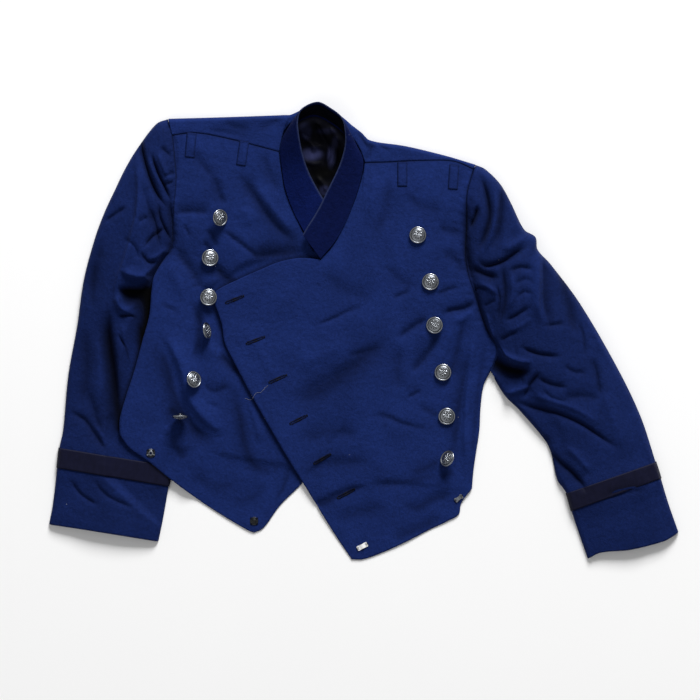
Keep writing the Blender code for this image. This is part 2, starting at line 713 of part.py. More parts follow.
def top_sleeve_surface(sleeve, s, t):
    points = patch(sleeve.hem, sleeve.top, sleeve.left, sleeve.right, s, t)
    height = np.interp(t, [row.share for row in sleeve.crown],
                       [row.height for row in sleeve.crown])
    arch = (4 * s * (1 - s)) ** 0.7
    inside = smooth(np.minimum(np.minimum(s, 1 - s) / 0.08, (1 - t) / 0.05))
    creases = fold_height(sleeve.folds, points[:, 0], points[:, 1])
    points[:, 2] += height * arch + inside * creases
    if sleeve.side == "right":
        points[:, 2] = np.minimum(points[:, 2], pressed_by_body(points[:, 0], points[:, 1]))
    points[:, 2] = np.maximum(points[:, 2], BACK_LEVEL + 2.4)
    points[:, 2] += braid_lift(sleeve, t)
    width = plan_width(sleeve.left, sleeve.right, t)
    distance = np.minimum(s, 1 - s) * width + 300 * np.clip(t - 0.95, 0, 1)
    return turn_down(points, distance, RIM_LEVEL + braid_lift(sleeve, t))


def under_sleeve_surface(sleeve, s, t):
    width = plan_width(sleeve.left, sleeve.right, t)
    inset = UNDER_SLEEVE_INSET / width
    points = patch(sleeve.hem, sleeve.top, sleeve.left, sleeve.right,
                   inset + s * (1 - 2 * inset), t * (1 - ARMHOLE_CLEARANCE / sleeve.length))
    points[:, 2] = BACK_LEVEL + braid_lift(sleeve, t)
    return points


def build_sleeve(sleeve):
    rows = [0, sleeve.braid_low - BRAID_RAMP, sleeve.braid_low, sleeve.braid_high,
            sleeve.braid_high + BRAID_RAMP, *SLEEVE_ROWS]
    top_rows = rows[:-1] + [1 - SEAM_INSET / sleeve.length]
    cloth_sheet(f"{sleeve.side}_top_sleeve", lambda s, t: top_sleeve_surface(sleeve, s, t),
                sleeve.seam_stations, top_rows, CLOTH)
    cloth_sheet(f"{sleeve.side}_under_sleeve", lambda s, t: under_sleeve_surface(sleeve, s, t),
                even(4), rows, CLOTH)


def braid_surface(sleeve, around, t):
    """A band all round the cuff: over the top sleeve, down its sides and flat beneath."""
    off = HALF + 0.6 + LINING_WALL / 2
    count = len(sleeve.seam_stations)
    shares = np.array(sleeve.seam_stations)
    points = np.zeros((len(around), 3))
    for row in np.unique(t):
        rows = np.full(count, row)
        section = top_sleeve_surface(sleeve, shares, rows)
        start, end = section[0, :2], section[-1, :2]
        width = np.hypot(*(end - start))
        along = (end - start) / width
        reach = (section[:, :2] - start) @ along
        outline = np.column_stack([reach, section[:, 2]])
        step = np.gradient(outline, axis=0)
        normal = np.column_stack([-step[:, 1], step[:, 0]])
        normal /= np.hypot(normal[:, 0], normal[:, 1])[:, None]
        normal[0], normal[-1] = (-1, 0), (1, 0)
        outline = outline + off * normal
        below = np.column_stack([spread(width + off, -off, even(6)), np.full(7, LINING_WALL / 2)])
        ring = np.vstack([outline, below, outline[:1]])
        chosen = np.isclose(t, row)
        at = around[chosen] * (len(ring) - 1)
        reach_at = np.interp(at, range(len(ring)), ring[:, 0])
        points[chosen, :2] = start + reach_at[:, None] * along
        points[chosen, 2] = np.interp(at, range(len(ring)), ring[:, 1])
    return points


def build_braid(sleeve):
    cells = len(sleeve.seam_stations) + 7
    cloth_sheet(f"{sleeve.side}_cuff_braid", lambda s, t: braid_surface(sleeve, s, t),
                even(cells), [sleeve.braid_low, sleeve.braid_high], BRAID,
                wall=LINING_WALL, closed=True)


# ---- collar, and the lining that shows through it ----

COLLAR_CELLS = 22
COLLAR_ROWS = 3


def collar_surface(s, t, inward=0.0):
    """s runs round the neck and t from the neck seam to the collar's top edge."""
    knots = [row.share for row in COLLAR]
    table = np.array(COLLAR)

    def sample(at):
        return np.column_stack([np.interp(at, knots, table[:, i]) for i in range(1, 7)])

    def place(at, up):
        row = sample(at)
        return row[:, :3] + (row[:, 3:] - row[:, :3]) * up[:, None]

    points = place(s, t)
    step = 0.03
    round_neck = place(np.clip(s + step, 0, 1), t) - place(np.clip(s - step, 0, 1), t)
    upward = place(s, t + step) - place(s, t - step)
    normal = np.cross(round_neck, upward)
    normal /= np.linalg.norm(normal, axis=1)[:, None]
    return points + inward * normal


def build_collar():
    stations = even(COLLAR_CELLS)
    cloth_sheet("collar", collar_surface, stations, even(COLLAR_ROWS), COLLAR_CLOTH)
    inward = HALF + 0.7 + LINING_WALL / 2
    cloth_sheet("collar_lining", lambda s, t: collar_surface(s, t, inward),
                stations[1:-1], spread(0.08, 0.94, even(COLLAR_ROWS)), LINING,
                wall=LINING_WALL)


NECK_LINING_HEM = (Edge(0, -112, 90, 2.8), Edge(1, -10, 90, 2.8))
NECK_LINING_TOP = (Edge(0, -100, 262, 2.8), Edge(0.5, -64, 280, 3), Edge(1, -18, 256, 2.8))
NECK_LINING_RIGHT = (Edge(0, -112, 90, 2.8), Edge(0.5, -116, 180, 2.8), Edge(1, -100, 262, 2.8))
NECK_LINING_LEFT = (Edge(0, -10, 90, 2.8), Edge(0.5, -2, 180, 2.8), Edge(1, -18, 256, 2.8))


def build_neck_lining():
    def surface(s, t):
        points = patch(NECK_LINING_HEM, NECK_LINING_TOP, NECK_LINING_RIGHT,
                       NECK_LINING_LEFT, s, t)
        points[:, 2] += 0.25 * np.cos(9 * s) * np.cos(11 * t)
        return points

    cloth_sheet("neck_lining", surface, even(6), even(9), LINING, wall=LINING_WALL)


# ---- buttons, loops and fasteners, each set down on the cloth beneath it ----

def cloth_tree(*names):
    """The faces of finished cloth pieces, to set other pieces down on, in millimetres."""
    bpy.context.view_layer.update()
    graph = bpy.context.evaluated_depsgraph_get()
    corners, faces = [], []
    for name in names:
        mesh = bpy.data.objects[name].evaluated_get(graph).to_mesh()
        start = len(corners)
        corners += [vertex.co / MM for vertex in mesh.vertices]
        faces += [[start + i for i in face.vertices] for face in mesh.polygons]
    return BVHTree.FromPolygons(corners, faces)


SEAM_SPAN = 1.6           # wide enough not to drop into the gap at a seam


def set_down(tree, x, y):
    """Where a line straight down at x, y meets the cloth, and the cloth's slope there."""
    hits = [tree.ray_cast(Vector((x, y + shift, 200)), Vector((0, 0, -1)))
            for shift in (0, -SEAM_SPAN, SEAM_SPAN)]
    point, normal, _, _ = max((hit for hit in hits if hit[0]), key=lambda hit: hit[0].z)
    return Vector((x, y, point.z)), normal


BUTTON_PROFILE = ((0, 4.4), (6.2, 3.8), (10.4, 2.0), (11.5, 0.7), (10.6, 0), (0, 0))
BUTTON_STEPS = 12


def turned(name, profile, steps, made_of):
    """A turned solid from its profile, top to bottom, as (radius, height) in millimetres."""
    outline = bmesh.new()
    points = [outline.verts.new((radius, 0, height)) for radius, height in profile]
    for upper, lower in zip(points, points[1:]):
        outline.edges.new((upper, lower))
    piece = add_piece(name, outline, made_of)
    screw = piece.modifiers.new("turn", "SCREW")
    screw.steps = screw.render_steps = steps
    screw.use_merge_vertices = True
    screw.merge_threshold = 0.00001
    return piece


def build_button(name, button, tree):
    """A button sewn down close: its back is just clear of the cloth all round its rim."""
    towards = math.radians(button.towards)
    lean = Matrix.Rotation(math.radians(button.tilt), 4,
                           Vector((-math.sin(towards), math.cos(towards), 0)))
    axis = lean @ Vector((0, 0, 1))
    centre_z = 0
    for i in range(8):
        angle = math.tau * i / 8
        dx, dy = BUTTON_RADIUS * math.cos(angle), BUTTON_RADIUS * math.sin(angle)
        down_the_lean = dx * math.cos(towards) + dy * math.sin(towards)
        dx -= down_the_lean * math.cos(towards) * (1 - axis.z)
        dy -= down_the_lean * math.sin(towards) * (1 - axis.z)
        ground, _ = set_down(tree, button.x + dx, button.y + dy)
        centre_z = max(centre_z, ground.z + (axis.x * dx + axis.y * dy) / axis.z)
    piece = turned(name, BUTTON_PROFILE, BUTTON_STEPS, METAL)
    centre = Vector((button.x, button.y, centre_z + BUTTON_CLEARANCE)) * MM
    piece.matrix_world = Matrix.Translation(centre) @ lean


def build_loop(loop, tree):
    """A flat loop of the tunic's cloth, sewn down at both ends across the shoulder seam."""
    turn = math.radians(loop.turn)

    def surface(s, t):
        points = np.zeros((len(s), 3))
        for i, (across, along) in enumerate(zip(s, t)):
            right = (across - 0.5) * LOOP_WIDTH
            up = (along - 0.5) * LOOP_LENGTH
            x = loop.x + right * math.cos(turn) - up * math.sin(turn)
            y = loop.y + right * math.sin(turn) + up * math.cos(turn)
            ground, _ = set_down(tree, x, y)
            raised = LINING_WALL / 2 + 0.5 + 0.9 * math.sin(math.pi * along)
            points[i] = (x, y, ground.z + raised)
        return points

    cloth_sheet(loop.name, surface, even(2), even(6), CLOTH, wall=LINING_WALL)


def build_snap(name, x, y, radius, tree):
    ground, slope = set_down(tree, x, y)
    profile = ((0, 1.6), (radius * 0.3, 1.6), (radius * 0.45, 0.9), (radius * 0.8, 0.9),
               (radius, 0.4), (radius * 0.9, 0), (0, 0))
    piece = turned(name, profile, 14, METAL)
    upright = slope.to_track_quat("Z", "Y").to_matrix().to_4x4()
    piece.matrix_world = Matrix.Translation((ground + slope * 0.6) * MM) @ upright


def build_hook_bar(name, x, y, turn, length, tree):
    """A flat metal bar with a raised middle, sewn on through its two ends."""
    ground, slope = set_down(tree, x, y)
    plate = bmesh.new()
    bmesh.ops.create_cube(plate, size=1)
    bmesh.ops.scale(plate, vec=(length, length * 0.5, 1.4), verts=plate.verts)
    bmesh.ops.bevel(plate, geom=plate.edges, offset=0.4, segments=1, affect="EDGES",
                    profile=0.5, material=-1)
    piece = add_piece(name, plate, METAL)
    upright = slope.to_track_quat("Z", "Y").to_matrix().to_4x4()
    spin = Matrix.Rotation(math.radians(turn), 4, "Z")
    piece.matrix_world = Matrix.Translation((ground + slope * 1.6) * MM) @ upright @ spin


def build_trim():
    left = cloth_tree("left_front")
    right = cloth_tree("right_front")
    fronts = cloth_tree("left_front", "right_front")
    shoulders = cloth_tree("left_front", "right_front", "back")
    for side, buttons, tree in (("left", LEFT_BUTTONS, left), ("right", RIGHT_BUTTONS, fronts)):
        for number, button in enumerate(buttons, start=1):
            build_button(f"{side}_button_{number}", button, tree)
    for loop in LOOPS:
        build_loop(loop, shoulders)
    for name, x, y, radius in SNAPS:
        build_snap(name, x, y, radius, right)
    for name, x, y, turn, length in HOOK_BARS:
        build_hook_bar(name, x, y, turn, length, left)


# ---- the whole tunic ----

for old in list(bpy.data.objects):
    bpy.data.objects.remove(old, do_unlink=True)
tunic = bpy.data.collections.new("military_dress_tunic")
bpy.context.scene.collection.children.link(tunic)

CLOTH = material("navy_worsted", (0.008, 0.017, 0.080), 0.85)
COLLAR_CLOTH = material("dark_navy_worsted", (0.006, 0.009, 0.036), 0.85)
LINING = material("black_satin", (0.012, 0.012, 0.018), 0.35)
BRAID = material("black_braid", (0.010, 0.010, 0.020), 0.7)
METAL = material("antique_silver", (0.42, 0.42, 0.43), 0.35, 1.0)

build_back()
build_right_front()
build_left_front()
for one_sleeve in SLEEVES:
    build_sleeve(one_sleeve)
    build_braid(one_sleeve)
build_neck_lining()
build_collar()
build_trim()
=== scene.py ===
"""The look of a short double-breasted dress tunic, laid flat on its back with its fronts up.

Tables are in millimetres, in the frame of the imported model: +X to the wearer's left sleeve,
+Y to the collar, +Z up from the surface that the tunic lies on. MM turns them into metres.
"""

import math
from collections import namedtuple

import bmesh
import bpy
import numpy as np
from mathutils import Matrix, Vector
from mathutils.bvhtree import BVHTree


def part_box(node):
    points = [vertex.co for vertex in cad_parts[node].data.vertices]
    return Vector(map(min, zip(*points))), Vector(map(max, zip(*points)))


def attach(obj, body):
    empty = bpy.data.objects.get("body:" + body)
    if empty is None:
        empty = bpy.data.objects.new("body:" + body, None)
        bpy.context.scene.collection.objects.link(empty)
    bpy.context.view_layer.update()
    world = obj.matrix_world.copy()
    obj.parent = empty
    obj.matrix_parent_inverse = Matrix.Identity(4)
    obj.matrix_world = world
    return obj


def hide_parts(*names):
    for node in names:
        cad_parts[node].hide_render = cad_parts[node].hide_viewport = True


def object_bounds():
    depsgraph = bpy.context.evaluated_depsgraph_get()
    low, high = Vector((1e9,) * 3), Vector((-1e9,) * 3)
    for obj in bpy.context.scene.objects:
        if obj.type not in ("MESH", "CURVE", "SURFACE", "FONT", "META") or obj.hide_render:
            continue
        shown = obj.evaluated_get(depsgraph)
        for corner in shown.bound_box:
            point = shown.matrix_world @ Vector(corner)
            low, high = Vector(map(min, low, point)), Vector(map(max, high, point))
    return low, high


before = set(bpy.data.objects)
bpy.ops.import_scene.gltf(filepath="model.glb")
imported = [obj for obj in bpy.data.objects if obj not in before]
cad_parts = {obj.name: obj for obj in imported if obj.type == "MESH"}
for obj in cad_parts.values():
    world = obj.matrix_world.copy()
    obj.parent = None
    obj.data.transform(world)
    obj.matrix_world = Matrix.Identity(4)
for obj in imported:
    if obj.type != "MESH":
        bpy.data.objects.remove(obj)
cad_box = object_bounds()
MM = 0.001

# ---- back ----
# One panel of navy worsted that lies flat on the surface and rolls forward over both
# shoulders to the shoulder seams. It is cut with the neck hollow at its top and is sewn to
# the fronts along the sides and the shoulders.

WALL = 1.6                # worsted with its interlining
HALF = WALL / 2
SEAM_INSET = 0.4
BACK_LEVEL = 0.8          # middle of the back's wall, on the surface
UNDER_INSET = 3.6
ARMHOLE_REACH = 4.0       # the back runs this far beneath each sleeve's head
BACK_SIZE = (420, 520)
BACK_ROLL = 5.0
NECK_END = 0.665          # shares of the body's width where the neck starts and ends
PLASTRON_END = 0.34
LEFT_UNDERARM = 0.4
RIGHT_UNDERARM = 0.6

# One row of an edge: its share of the edge's run, its place, and whether it is a corner.
Edge = namedtuple("Edge", "share x y z corner", defaults=(0,))

# A crease follows its path and rises by rise, less than nothing for a trough. left and right
# are how wide it is on each hand as it is followed.
Crease = namedtuple("Crease", "path left right rise")

LEFT_ARMHOLE = (
    Edge(0.00, 170, -53, 6),
    Edge(0.11, 179, -23, 8),
    Edge(0.24, 163, 9, 12),
    Edge(0.37, 151, 44, 14),
    Edge(0.50, 140, 77, 15),
    Edge(0.61, 136, 104, 16),
    Edge(0.74, 138, 144, 17),
    Edge(0.88, 138, 184, 17),
    Edge(1.00, 147, 218, 14),
)
RIGHT_ARMHOLE = (
    Edge(0.00, -260, 113, 9),
    Edge(0.17, -259, 137, 12),
    Edge(0.38, -257, 171, 14),
    Edge(0.60, -254, 205, 15),
    Edge(0.80, -256, 234, 15),
    Edge(1.00, -259, 264, 14),
)
LEFT_SIDE = (
    Edge(0.00, 145, -211, 4),
    Edge(0.16, 147, -187, 5),
    Edge(0.35, 151, -160, 5),
    Edge(0.53, 155, -133, 6),
    Edge(0.75, 157, -99, 6),
    Edge(0.89, 161, -72, 6),
    Edge(1.00, 170, -53, 6),
)
RIGHT_SIDE = (
    Edge(0.00, -330, -138, 10.5),
    Edge(0.06, -330, -119, 11),
    Edge(0.24, -321, -86, 11),
    Edge(0.42, -310, -52, 11),
    Edge(0.58, -299, -11, 11),
    Edge(0.72, -290, 22, 11),
    Edge(0.84, -287, 56, 10.5),
    Edge(0.90, -283, 76, 10),
    Edge(1.00, -260, 113, 9),
)
LEFT_SHOULDER = (
    Edge(0.0, 1, 227, 14),
    Edge(0.3, 34, 228, 12.5),
    Edge(0.6, 76, 230, 12),
    Edge(0.85, 120, 229, 13),
    Edge(1.0, 147, 218, 14),
)
RIGHT_SHOULDER = (
    Edge(0.0, -259, 264, 14),
    Edge(0.3, -226, 267, 13),
    Edge(0.6, -182, 259, 12),
    Edge(1.0, -116, 242, 13),
)
BACK_NECK = (
    Edge(0.00, -116, 242, 13),
    Edge(0.16, -112, 266, 12),
    Edge(0.34, -93, 286, 10),
    Edge(0.50, -66, 295, 8),
    Edge(0.67, -41, 285, 10),
    Edge(0.79, -22, 267, 12),
    Edge(0.90, -7, 247, 14),
    Edge(1.00, 1, 227, 14),
)
BACK_HEM = (
    Edge(0.0, -330, -138, 0.8),
    Edge(0.5, -92, -175, 0.8),
    Edge(1.0, 145, -211, 0.8),
)
BACK_FOLD = (
    Edge(0.00, -265, 286, 0.8),
    Edge(0.16, -195, 288, 0.8),
    Edge(0.33, -110, 291, 0.8),
    Edge(0.42, -98, 292, 0.8),
    Edge(0.46, -84, 298, 0.8),
    Edge(0.50, -63, 301, 0.8),
    Edge(0.54, -37, 293, 0.8),
    Edge(0.58, -18, 278, 0.8),
    Edge(0.63, -4, 267, 0.8),
    Edge(0.67, 7, 257, 0.8),
    Edge(0.80, 56, 249, 0.8),
    Edge(0.92, 110, 236, 0.8),
    Edge(1.00, 150, 224, 0.8),
)
RIGHT_BACK_ARMHOLE = (Edge(0, -265, 286, 8), Edge(0.5, -262, 276, 12), Edge(1, -259, 264, 14))
LEFT_BACK_ARMHOLE = (Edge(0, 147, 218, 14), Edge(1, 150, 224, 8))
SHOULDER_CREASES = (
    Crease(((-13, 273), (-3, 259), (5, 242)), 5, 5, -3.2),
    Crease(((10, 256), (7, 242), (-1, 227)), 4, 4, -4.0),
    Crease(((18, 252), (34, 242)), 4, 4, -2.2),
    Crease(((-192, 283), (-173, 275), (-152, 272)), 7, 7, -2.8),
    Crease(((-148, 269), (-128, 279), (-109, 287)), 7, 7, -2.6),
    Crease(((-252, 268), (-236, 263), (-215, 256)), 4, 6, -2.6),
    Crease(((-227, 250), (-203, 242), (-179, 223)), 5, 7, -2.4),
    Crease(((-215, 271), (-179, 267), (-152, 261)), 6, 6, -2.0),
    Crease(((-103, 284), (-107, 267), (-109, 245)), 4, 4, -3.4),
)


def edge_curve(rows, shares):
    """Points at shares of an edge: a smooth curve through its rows, broken at corners."""
    knots = np.array([row.share for row in rows])
    points = np.array([(row.x, row.y, row.z) for row in rows])
    slopes = np.diff(points, axis=0) / np.diff(knots)[:, None]
    leaving = slopes.copy()
    arriving = slopes.copy()
    for i in range(1, len(rows) - 1):
        if not rows[i].corner:
            middle = (points[i + 1] - points[i - 1]) / (knots[i + 1] - knots[i - 1])
            leaving[i] = middle
            arriving[i - 1] = middle
    shares = np.asarray(shares, float)
    stretch = np.clip(np.searchsorted(knots, shares, side="right") - 1, 0, len(slopes) - 1)
    run = np.diff(knots)[stretch]
    u = ((shares - knots[stretch]) / run)[:, None]
    start, end = points[stretch], points[stretch + 1]
    go, come = leaving[stretch] * run[:, None], arriving[stretch] * run[:, None]
    return ((2 * u**3 - 3 * u**2 + 1) * start + (u**3 - 2 * u**2 + u) * go
            + (3 * u**2 - 2 * u**3) * end + (u**3 - u**2) * come)


def joined(*edges):
    """One edge from several in a row, as (edge, share where it ends) pairs, with corners."""
    rows = []
    begin = 0.0
    for edge, end in edges:
        for i, row in enumerate(edge):
            if rows and i == 0:
                rows[-1] = rows[-1]._replace(corner=1)
                continue
            rows.append(row._replace(share=begin + (end - begin) * row.share))
        begin = end
    return tuple(rows)


def patch(hem, top, left, right, s, t):
    """Points of a sheet that spans its four edges, at shares s across and t up."""
    across, up = s[:, None], t[:, None]
    corners = [edge_curve(hem, [0.0]), edge_curve(hem, [1.0]),
               edge_curve(top, [0.0]), edge_curve(top, [1.0])]
    between_hem_and_top = (1 - up) * edge_curve(hem, s) + up * edge_curve(top, s)
    between_sides = (1 - across) * edge_curve(left, t) + across * edge_curve(right, t)
    bilinear = ((1 - across) * (1 - up) * corners[0] + across * (1 - up) * corners[1]
                + (1 - across) * up * corners[2] + across * up * corners[3])
    return between_hem_and_top + between_sides - bilinear


def smooth(value):
    """0 to 1 with soft ends."""
    value = np.clip(value, 0, 1)
    return value * value * (3 - 2 * value)


def at_most(value, limit, softness=1.2):
    """The lower of the two, with a soft turn from one to the other."""
    return (value + limit - np.sqrt((value - limit) ** 2 + softness**2)) / 2


def at_least(value, limit, softness=1.2):
    return (value + limit + np.sqrt((value - limit) ** 2 + softness**2)) / 2


def smooth_path(path, steps=18):
    """A smooth line through a crease's few points."""
    spots = np.array(path, float)
    run = np.concatenate([[0], np.cumsum(np.linalg.norm(np.diff(spots, axis=0), axis=1))])
    rows = [Edge(share, x, y, 0) for share, (x, y) in zip(run / run[-1], spots)]
    return edge_curve(rows, np.linspace(0, 1, steps + 1))[:, :2]


def crease_height(creases, x, y):
    """Rise of all the creases together at x, y. A crease fades out at both of its ends."""
    height = np.zeros_like(x)
    for crease in creases:
        line = smooth_path(crease.path)
        reach = 3.0 * max(crease.left, crease.right)
        near = np.flatnonzero((x > line[:, 0].min() - reach) & (x < line[:, 0].max() + reach)
                              & (y > line[:, 1].min() - reach) & (y < line[:, 1].max() + reach))
        if not len(near):
            continue
        spots = np.column_stack([x[near], y[near]])
        best = np.full(len(near), np.inf)
        side = np.zeros(len(near))
        share = np.zeros(len(near))
        for i, (start, end) in enumerate(zip(line, line[1:])):
            along = end - start
            length = np.hypot(*along)
            offset = spots - start
            step = np.clip(offset @ along / length**2, 0, 1)
            gap = offset - step[:, None] * along
            distance = np.hypot(gap[:, 0], gap[:, 1])
            closer = distance < best
            best[closer] = distance[closer]
            side[closer] = (along[0] * offset[:, 1] - along[1] * offset[:, 0])[closer]
            share[closer] = (i + step[closer]) / (len(line) - 1)
        width = np.where(side > 0, crease.left, crease.right)
        ends = smooth(np.minimum(share, 1 - share) / 0.3)
        fall = np.exp(1.85 * (0.3 - np.sqrt((best / width) ** 2 + 0.09)))
        height[near] += crease.rise * fall * ends
    return height


def painted_crease_light_and_shade(height):
    """Painted light and shade from a crease's rise, as a factor on the cloth's colour: 1 where it
    is even, painted lighter on ridges and painted darker deep in the troughs.
    """
    return np.where(height > 0, 1 + 0.025 * np.minimum(height, 6), np.exp(height / 6.5))


def painted_seam_shade(distance):
    """Painted shade along a seam, whose cloth dips out of the light."""
    return 1 - 0.6 * np.exp(-(distance / 1.5) ** 2)


def lie_of_the_cloth(x, y):
    """The slight unevenness of wool that has seen wear and is laid down: broad waves and small
    dents.
    """
    broad = (np.sin(0.061 * x + 0.043 * y + 0.4) * np.sin(0.035 * x - 0.058 * y + 1.7)
             + 0.6 * np.sin(0.097 * x - 0.031 * y + 2.9) * np.sin(0.05 * x + 0.088 * y + 0.8))
    small = (np.sin(0.23 * x + 0.11 * y + 1.1) * np.sin(0.13 * x - 0.26 * y)
             + 0.7 * np.sin(0.37 * x - 0.29 * y + 2.2) * np.sin(0.19 * x + 0.41 * y + 0.5))
    return 0.42 * broad + 0.11 * small


def pucker(along, distance, pitch=11.0, rise=0.4):
    """Small gathers that a seam pulls into the cloth beside it."""
    wave = np.sin(math.tau * along / pitch) + 0.5 * np.sin(math.tau * along / (pitch * 0.61) + 1.3)
    return rise * wave * np.exp(-np.abs(distance) / 8)


def rolled_edge(distance, depth=1.0, width=1.8):
    """How far the cloth turns under in the last bit before its edge or its seam."""
    return -depth * np.clip(1 - distance / width, 0, 1) ** 2


def turn_down(points, distance, low, roll=5.0):
    """Turn the cloth down to low, as a quarter round, where distance is under roll."""
    inward = np.clip(distance / roll, 0, 1)
    share = np.sqrt(np.clip(1 - (1 - inward) ** 2, 0, 1))
    points[:, 2] = low + (points[:, 2] - low) * share
    return points


def reversed_edge(rows):
    return tuple(row._replace(share=1 - row.share) for row in reversed(rows))


def at_level(rows, level=BACK_LEVEL):
    return tuple(row._replace(z=level) for row in rows)


def plan_width(left, right, t):
    """Distance in plan between two edges at shares t."""
    gap = edge_curve(right, t)[:, :2] - edge_curve(left, t)[:, :2]
    return np.hypot(gap[:, 0], gap[:, 1])


def spread(begin, end, shares):
    return [begin + (end - begin) * share for share in shares]


def even(cells):
    return [i / cells for i in range(cells + 1)]


EDGE_STEPS = (0.25, 0.7, 1.3, 2.1, 3.2, 4.6)


def stations(length, cell, corners=()):
    """Shares of a length for the rows of a grid: even, but close together at both ends."""
    close = [step / length for step in EDGE_STEPS]
    first, last = close[-1], 1 - close[-1]
    cells = max(1, round((last - first) * length / cell))
    shares = [0, *close[:-1], *spread(first, last, even(cells)), *[1 - q for q in close[:-1]], 1]
    for corner in corners:
        nearest = min(range(len(shares)), key=lambda i: abs(shares[i] - corner))
        shares[nearest] = corner
    return sorted(shares)


def cloth(name, surface, size, across, up, finish, wall=WALL, closed=False):
    """A wall of cloth on the surface that surface(s, t) gives in millimetres, with the painted
    light and shade on the cloth there as a fourth value. Its map runs with the cloth, in metres:
    size is the sheet's width and length in millimetres."""
    grid = bmesh.new()
    bmesh.ops.create_grid(grid, x_segments=len(across) - 1, y_segments=len(up) - 1, size=0.5)
    mesh = bpy.data.meshes.new(name)
    grid.to_mesh(mesh)
    grid.free()
    spots = np.empty(len(mesh.vertices) * 3)
    mesh.vertices.foreach_get("co", spots)
    spots = spots.reshape(-1, 3)
    column = (spots[:, 0] + 0.5) * (len(across) - 1)
    row = (spots[:, 1] + 0.5) * (len(up) - 1)
    s = np.interp(column, range(len(across)), across)
    t = np.interp(row, range(len(up)), up)
    points = surface(s, t)
    mesh.vertices.foreach_set("co", (points[:, :3] * MM).ravel())
    # The fourth value, painted light and shade, goes on the mesh for the cloth's colour.
    worn = points[:, 3] if points.shape[1] == 4 else np.ones(len(points))
    mesh.attributes.new("worn", "FLOAT", "POINT").data.foreach_set("value", worn)
    corner_of = np.empty(len(mesh.loops), int)
    mesh.loops.foreach_get("vertex_index", corner_of)
    run = (t - min(up)) / (max(up) - min(up))
    plan = np.column_stack([s * size[0], run * size[1]]) * MM
    mesh.uv_layers.new(name="cloth").data.foreach_set("uv", plan[corner_of].ravel())
    if closed:
        welded = bmesh.new()
        welded.from_mesh(mesh)
        bmesh.ops.remove_doubles(welded, verts=welded.verts, dist=0.00001)
        bmesh.ops.recalc_face_normals(welded, faces=welded.faces)
        welded.to_mesh(mesh)
        welded.free()
    mesh.update()
    mesh.shade_smooth()
    mesh.materials.append(finish)
    piece = bpy.data.objects.new(name, mesh)
    bpy.context.scene.collection.objects.link(piece)
    walled = piece.modifiers.new("wall", "SOLIDIFY")
    walled.thickness = wall * MM
    walled.offset = 0
    return piece


def sewn_in(piece, node=None):
    """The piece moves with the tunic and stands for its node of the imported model."""
    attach(piece, "root")
    if node:
        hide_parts(node)
    return piece


class Nodes:
    """A short way to set out a node tree."""

    def __init__(self, tree):
        self.tree = tree

    def add(self, kind, settings=(), **inputs):
        node = self.tree.nodes.new(kind)
        for key, value in dict(settings).items():
            setattr(node, key, value)
        self.feed_all(node, **inputs)
        return node

    def feed(self, socket, value):
        if isinstance(value, bpy.types.NodeSocket):
            self.tree.links.new(value, socket)
        else:
            socket.default_value = value

    def feed_all(self, node, **inputs):
        for key, value in inputs.items():
            self.feed(node.inputs[key.replace("_", " ")], value)

    def math(self, operation, first, second=0.0, third=0.0):
        node = self.tree.nodes.new("ShaderNodeMath")
        node.operation = operation
        for socket, value in zip(node.inputs, (first, second, third)):
            self.feed(socket, value)
        return node.outputs[0]

    def mix(self, share, first, second, blend="MIX"):
        node = self.tree.nodes.new("ShaderNodeMix")
        node.data_type = "RGBA"
        node.blend_type = blend
        self.feed(node.inputs["Factor"], share)
        self.feed(node.inputs["A"], first)
        self.feed(node.inputs["B"], second)
        return node.outputs["Result"]


def new_material(name):
    """A material, a short way into its node tree, and its shader."""
    made = bpy.data.materials.new(name)
    made.use_nodes = True
    return made, Nodes(made.node_tree), made.node_tree.nodes["Principled BSDF"]


def socket_in(tree, name, kind, value):
    made = tree.interface.new_socket(name=name, in_out="INPUT", socket_type=kind)
    made.default_value = value


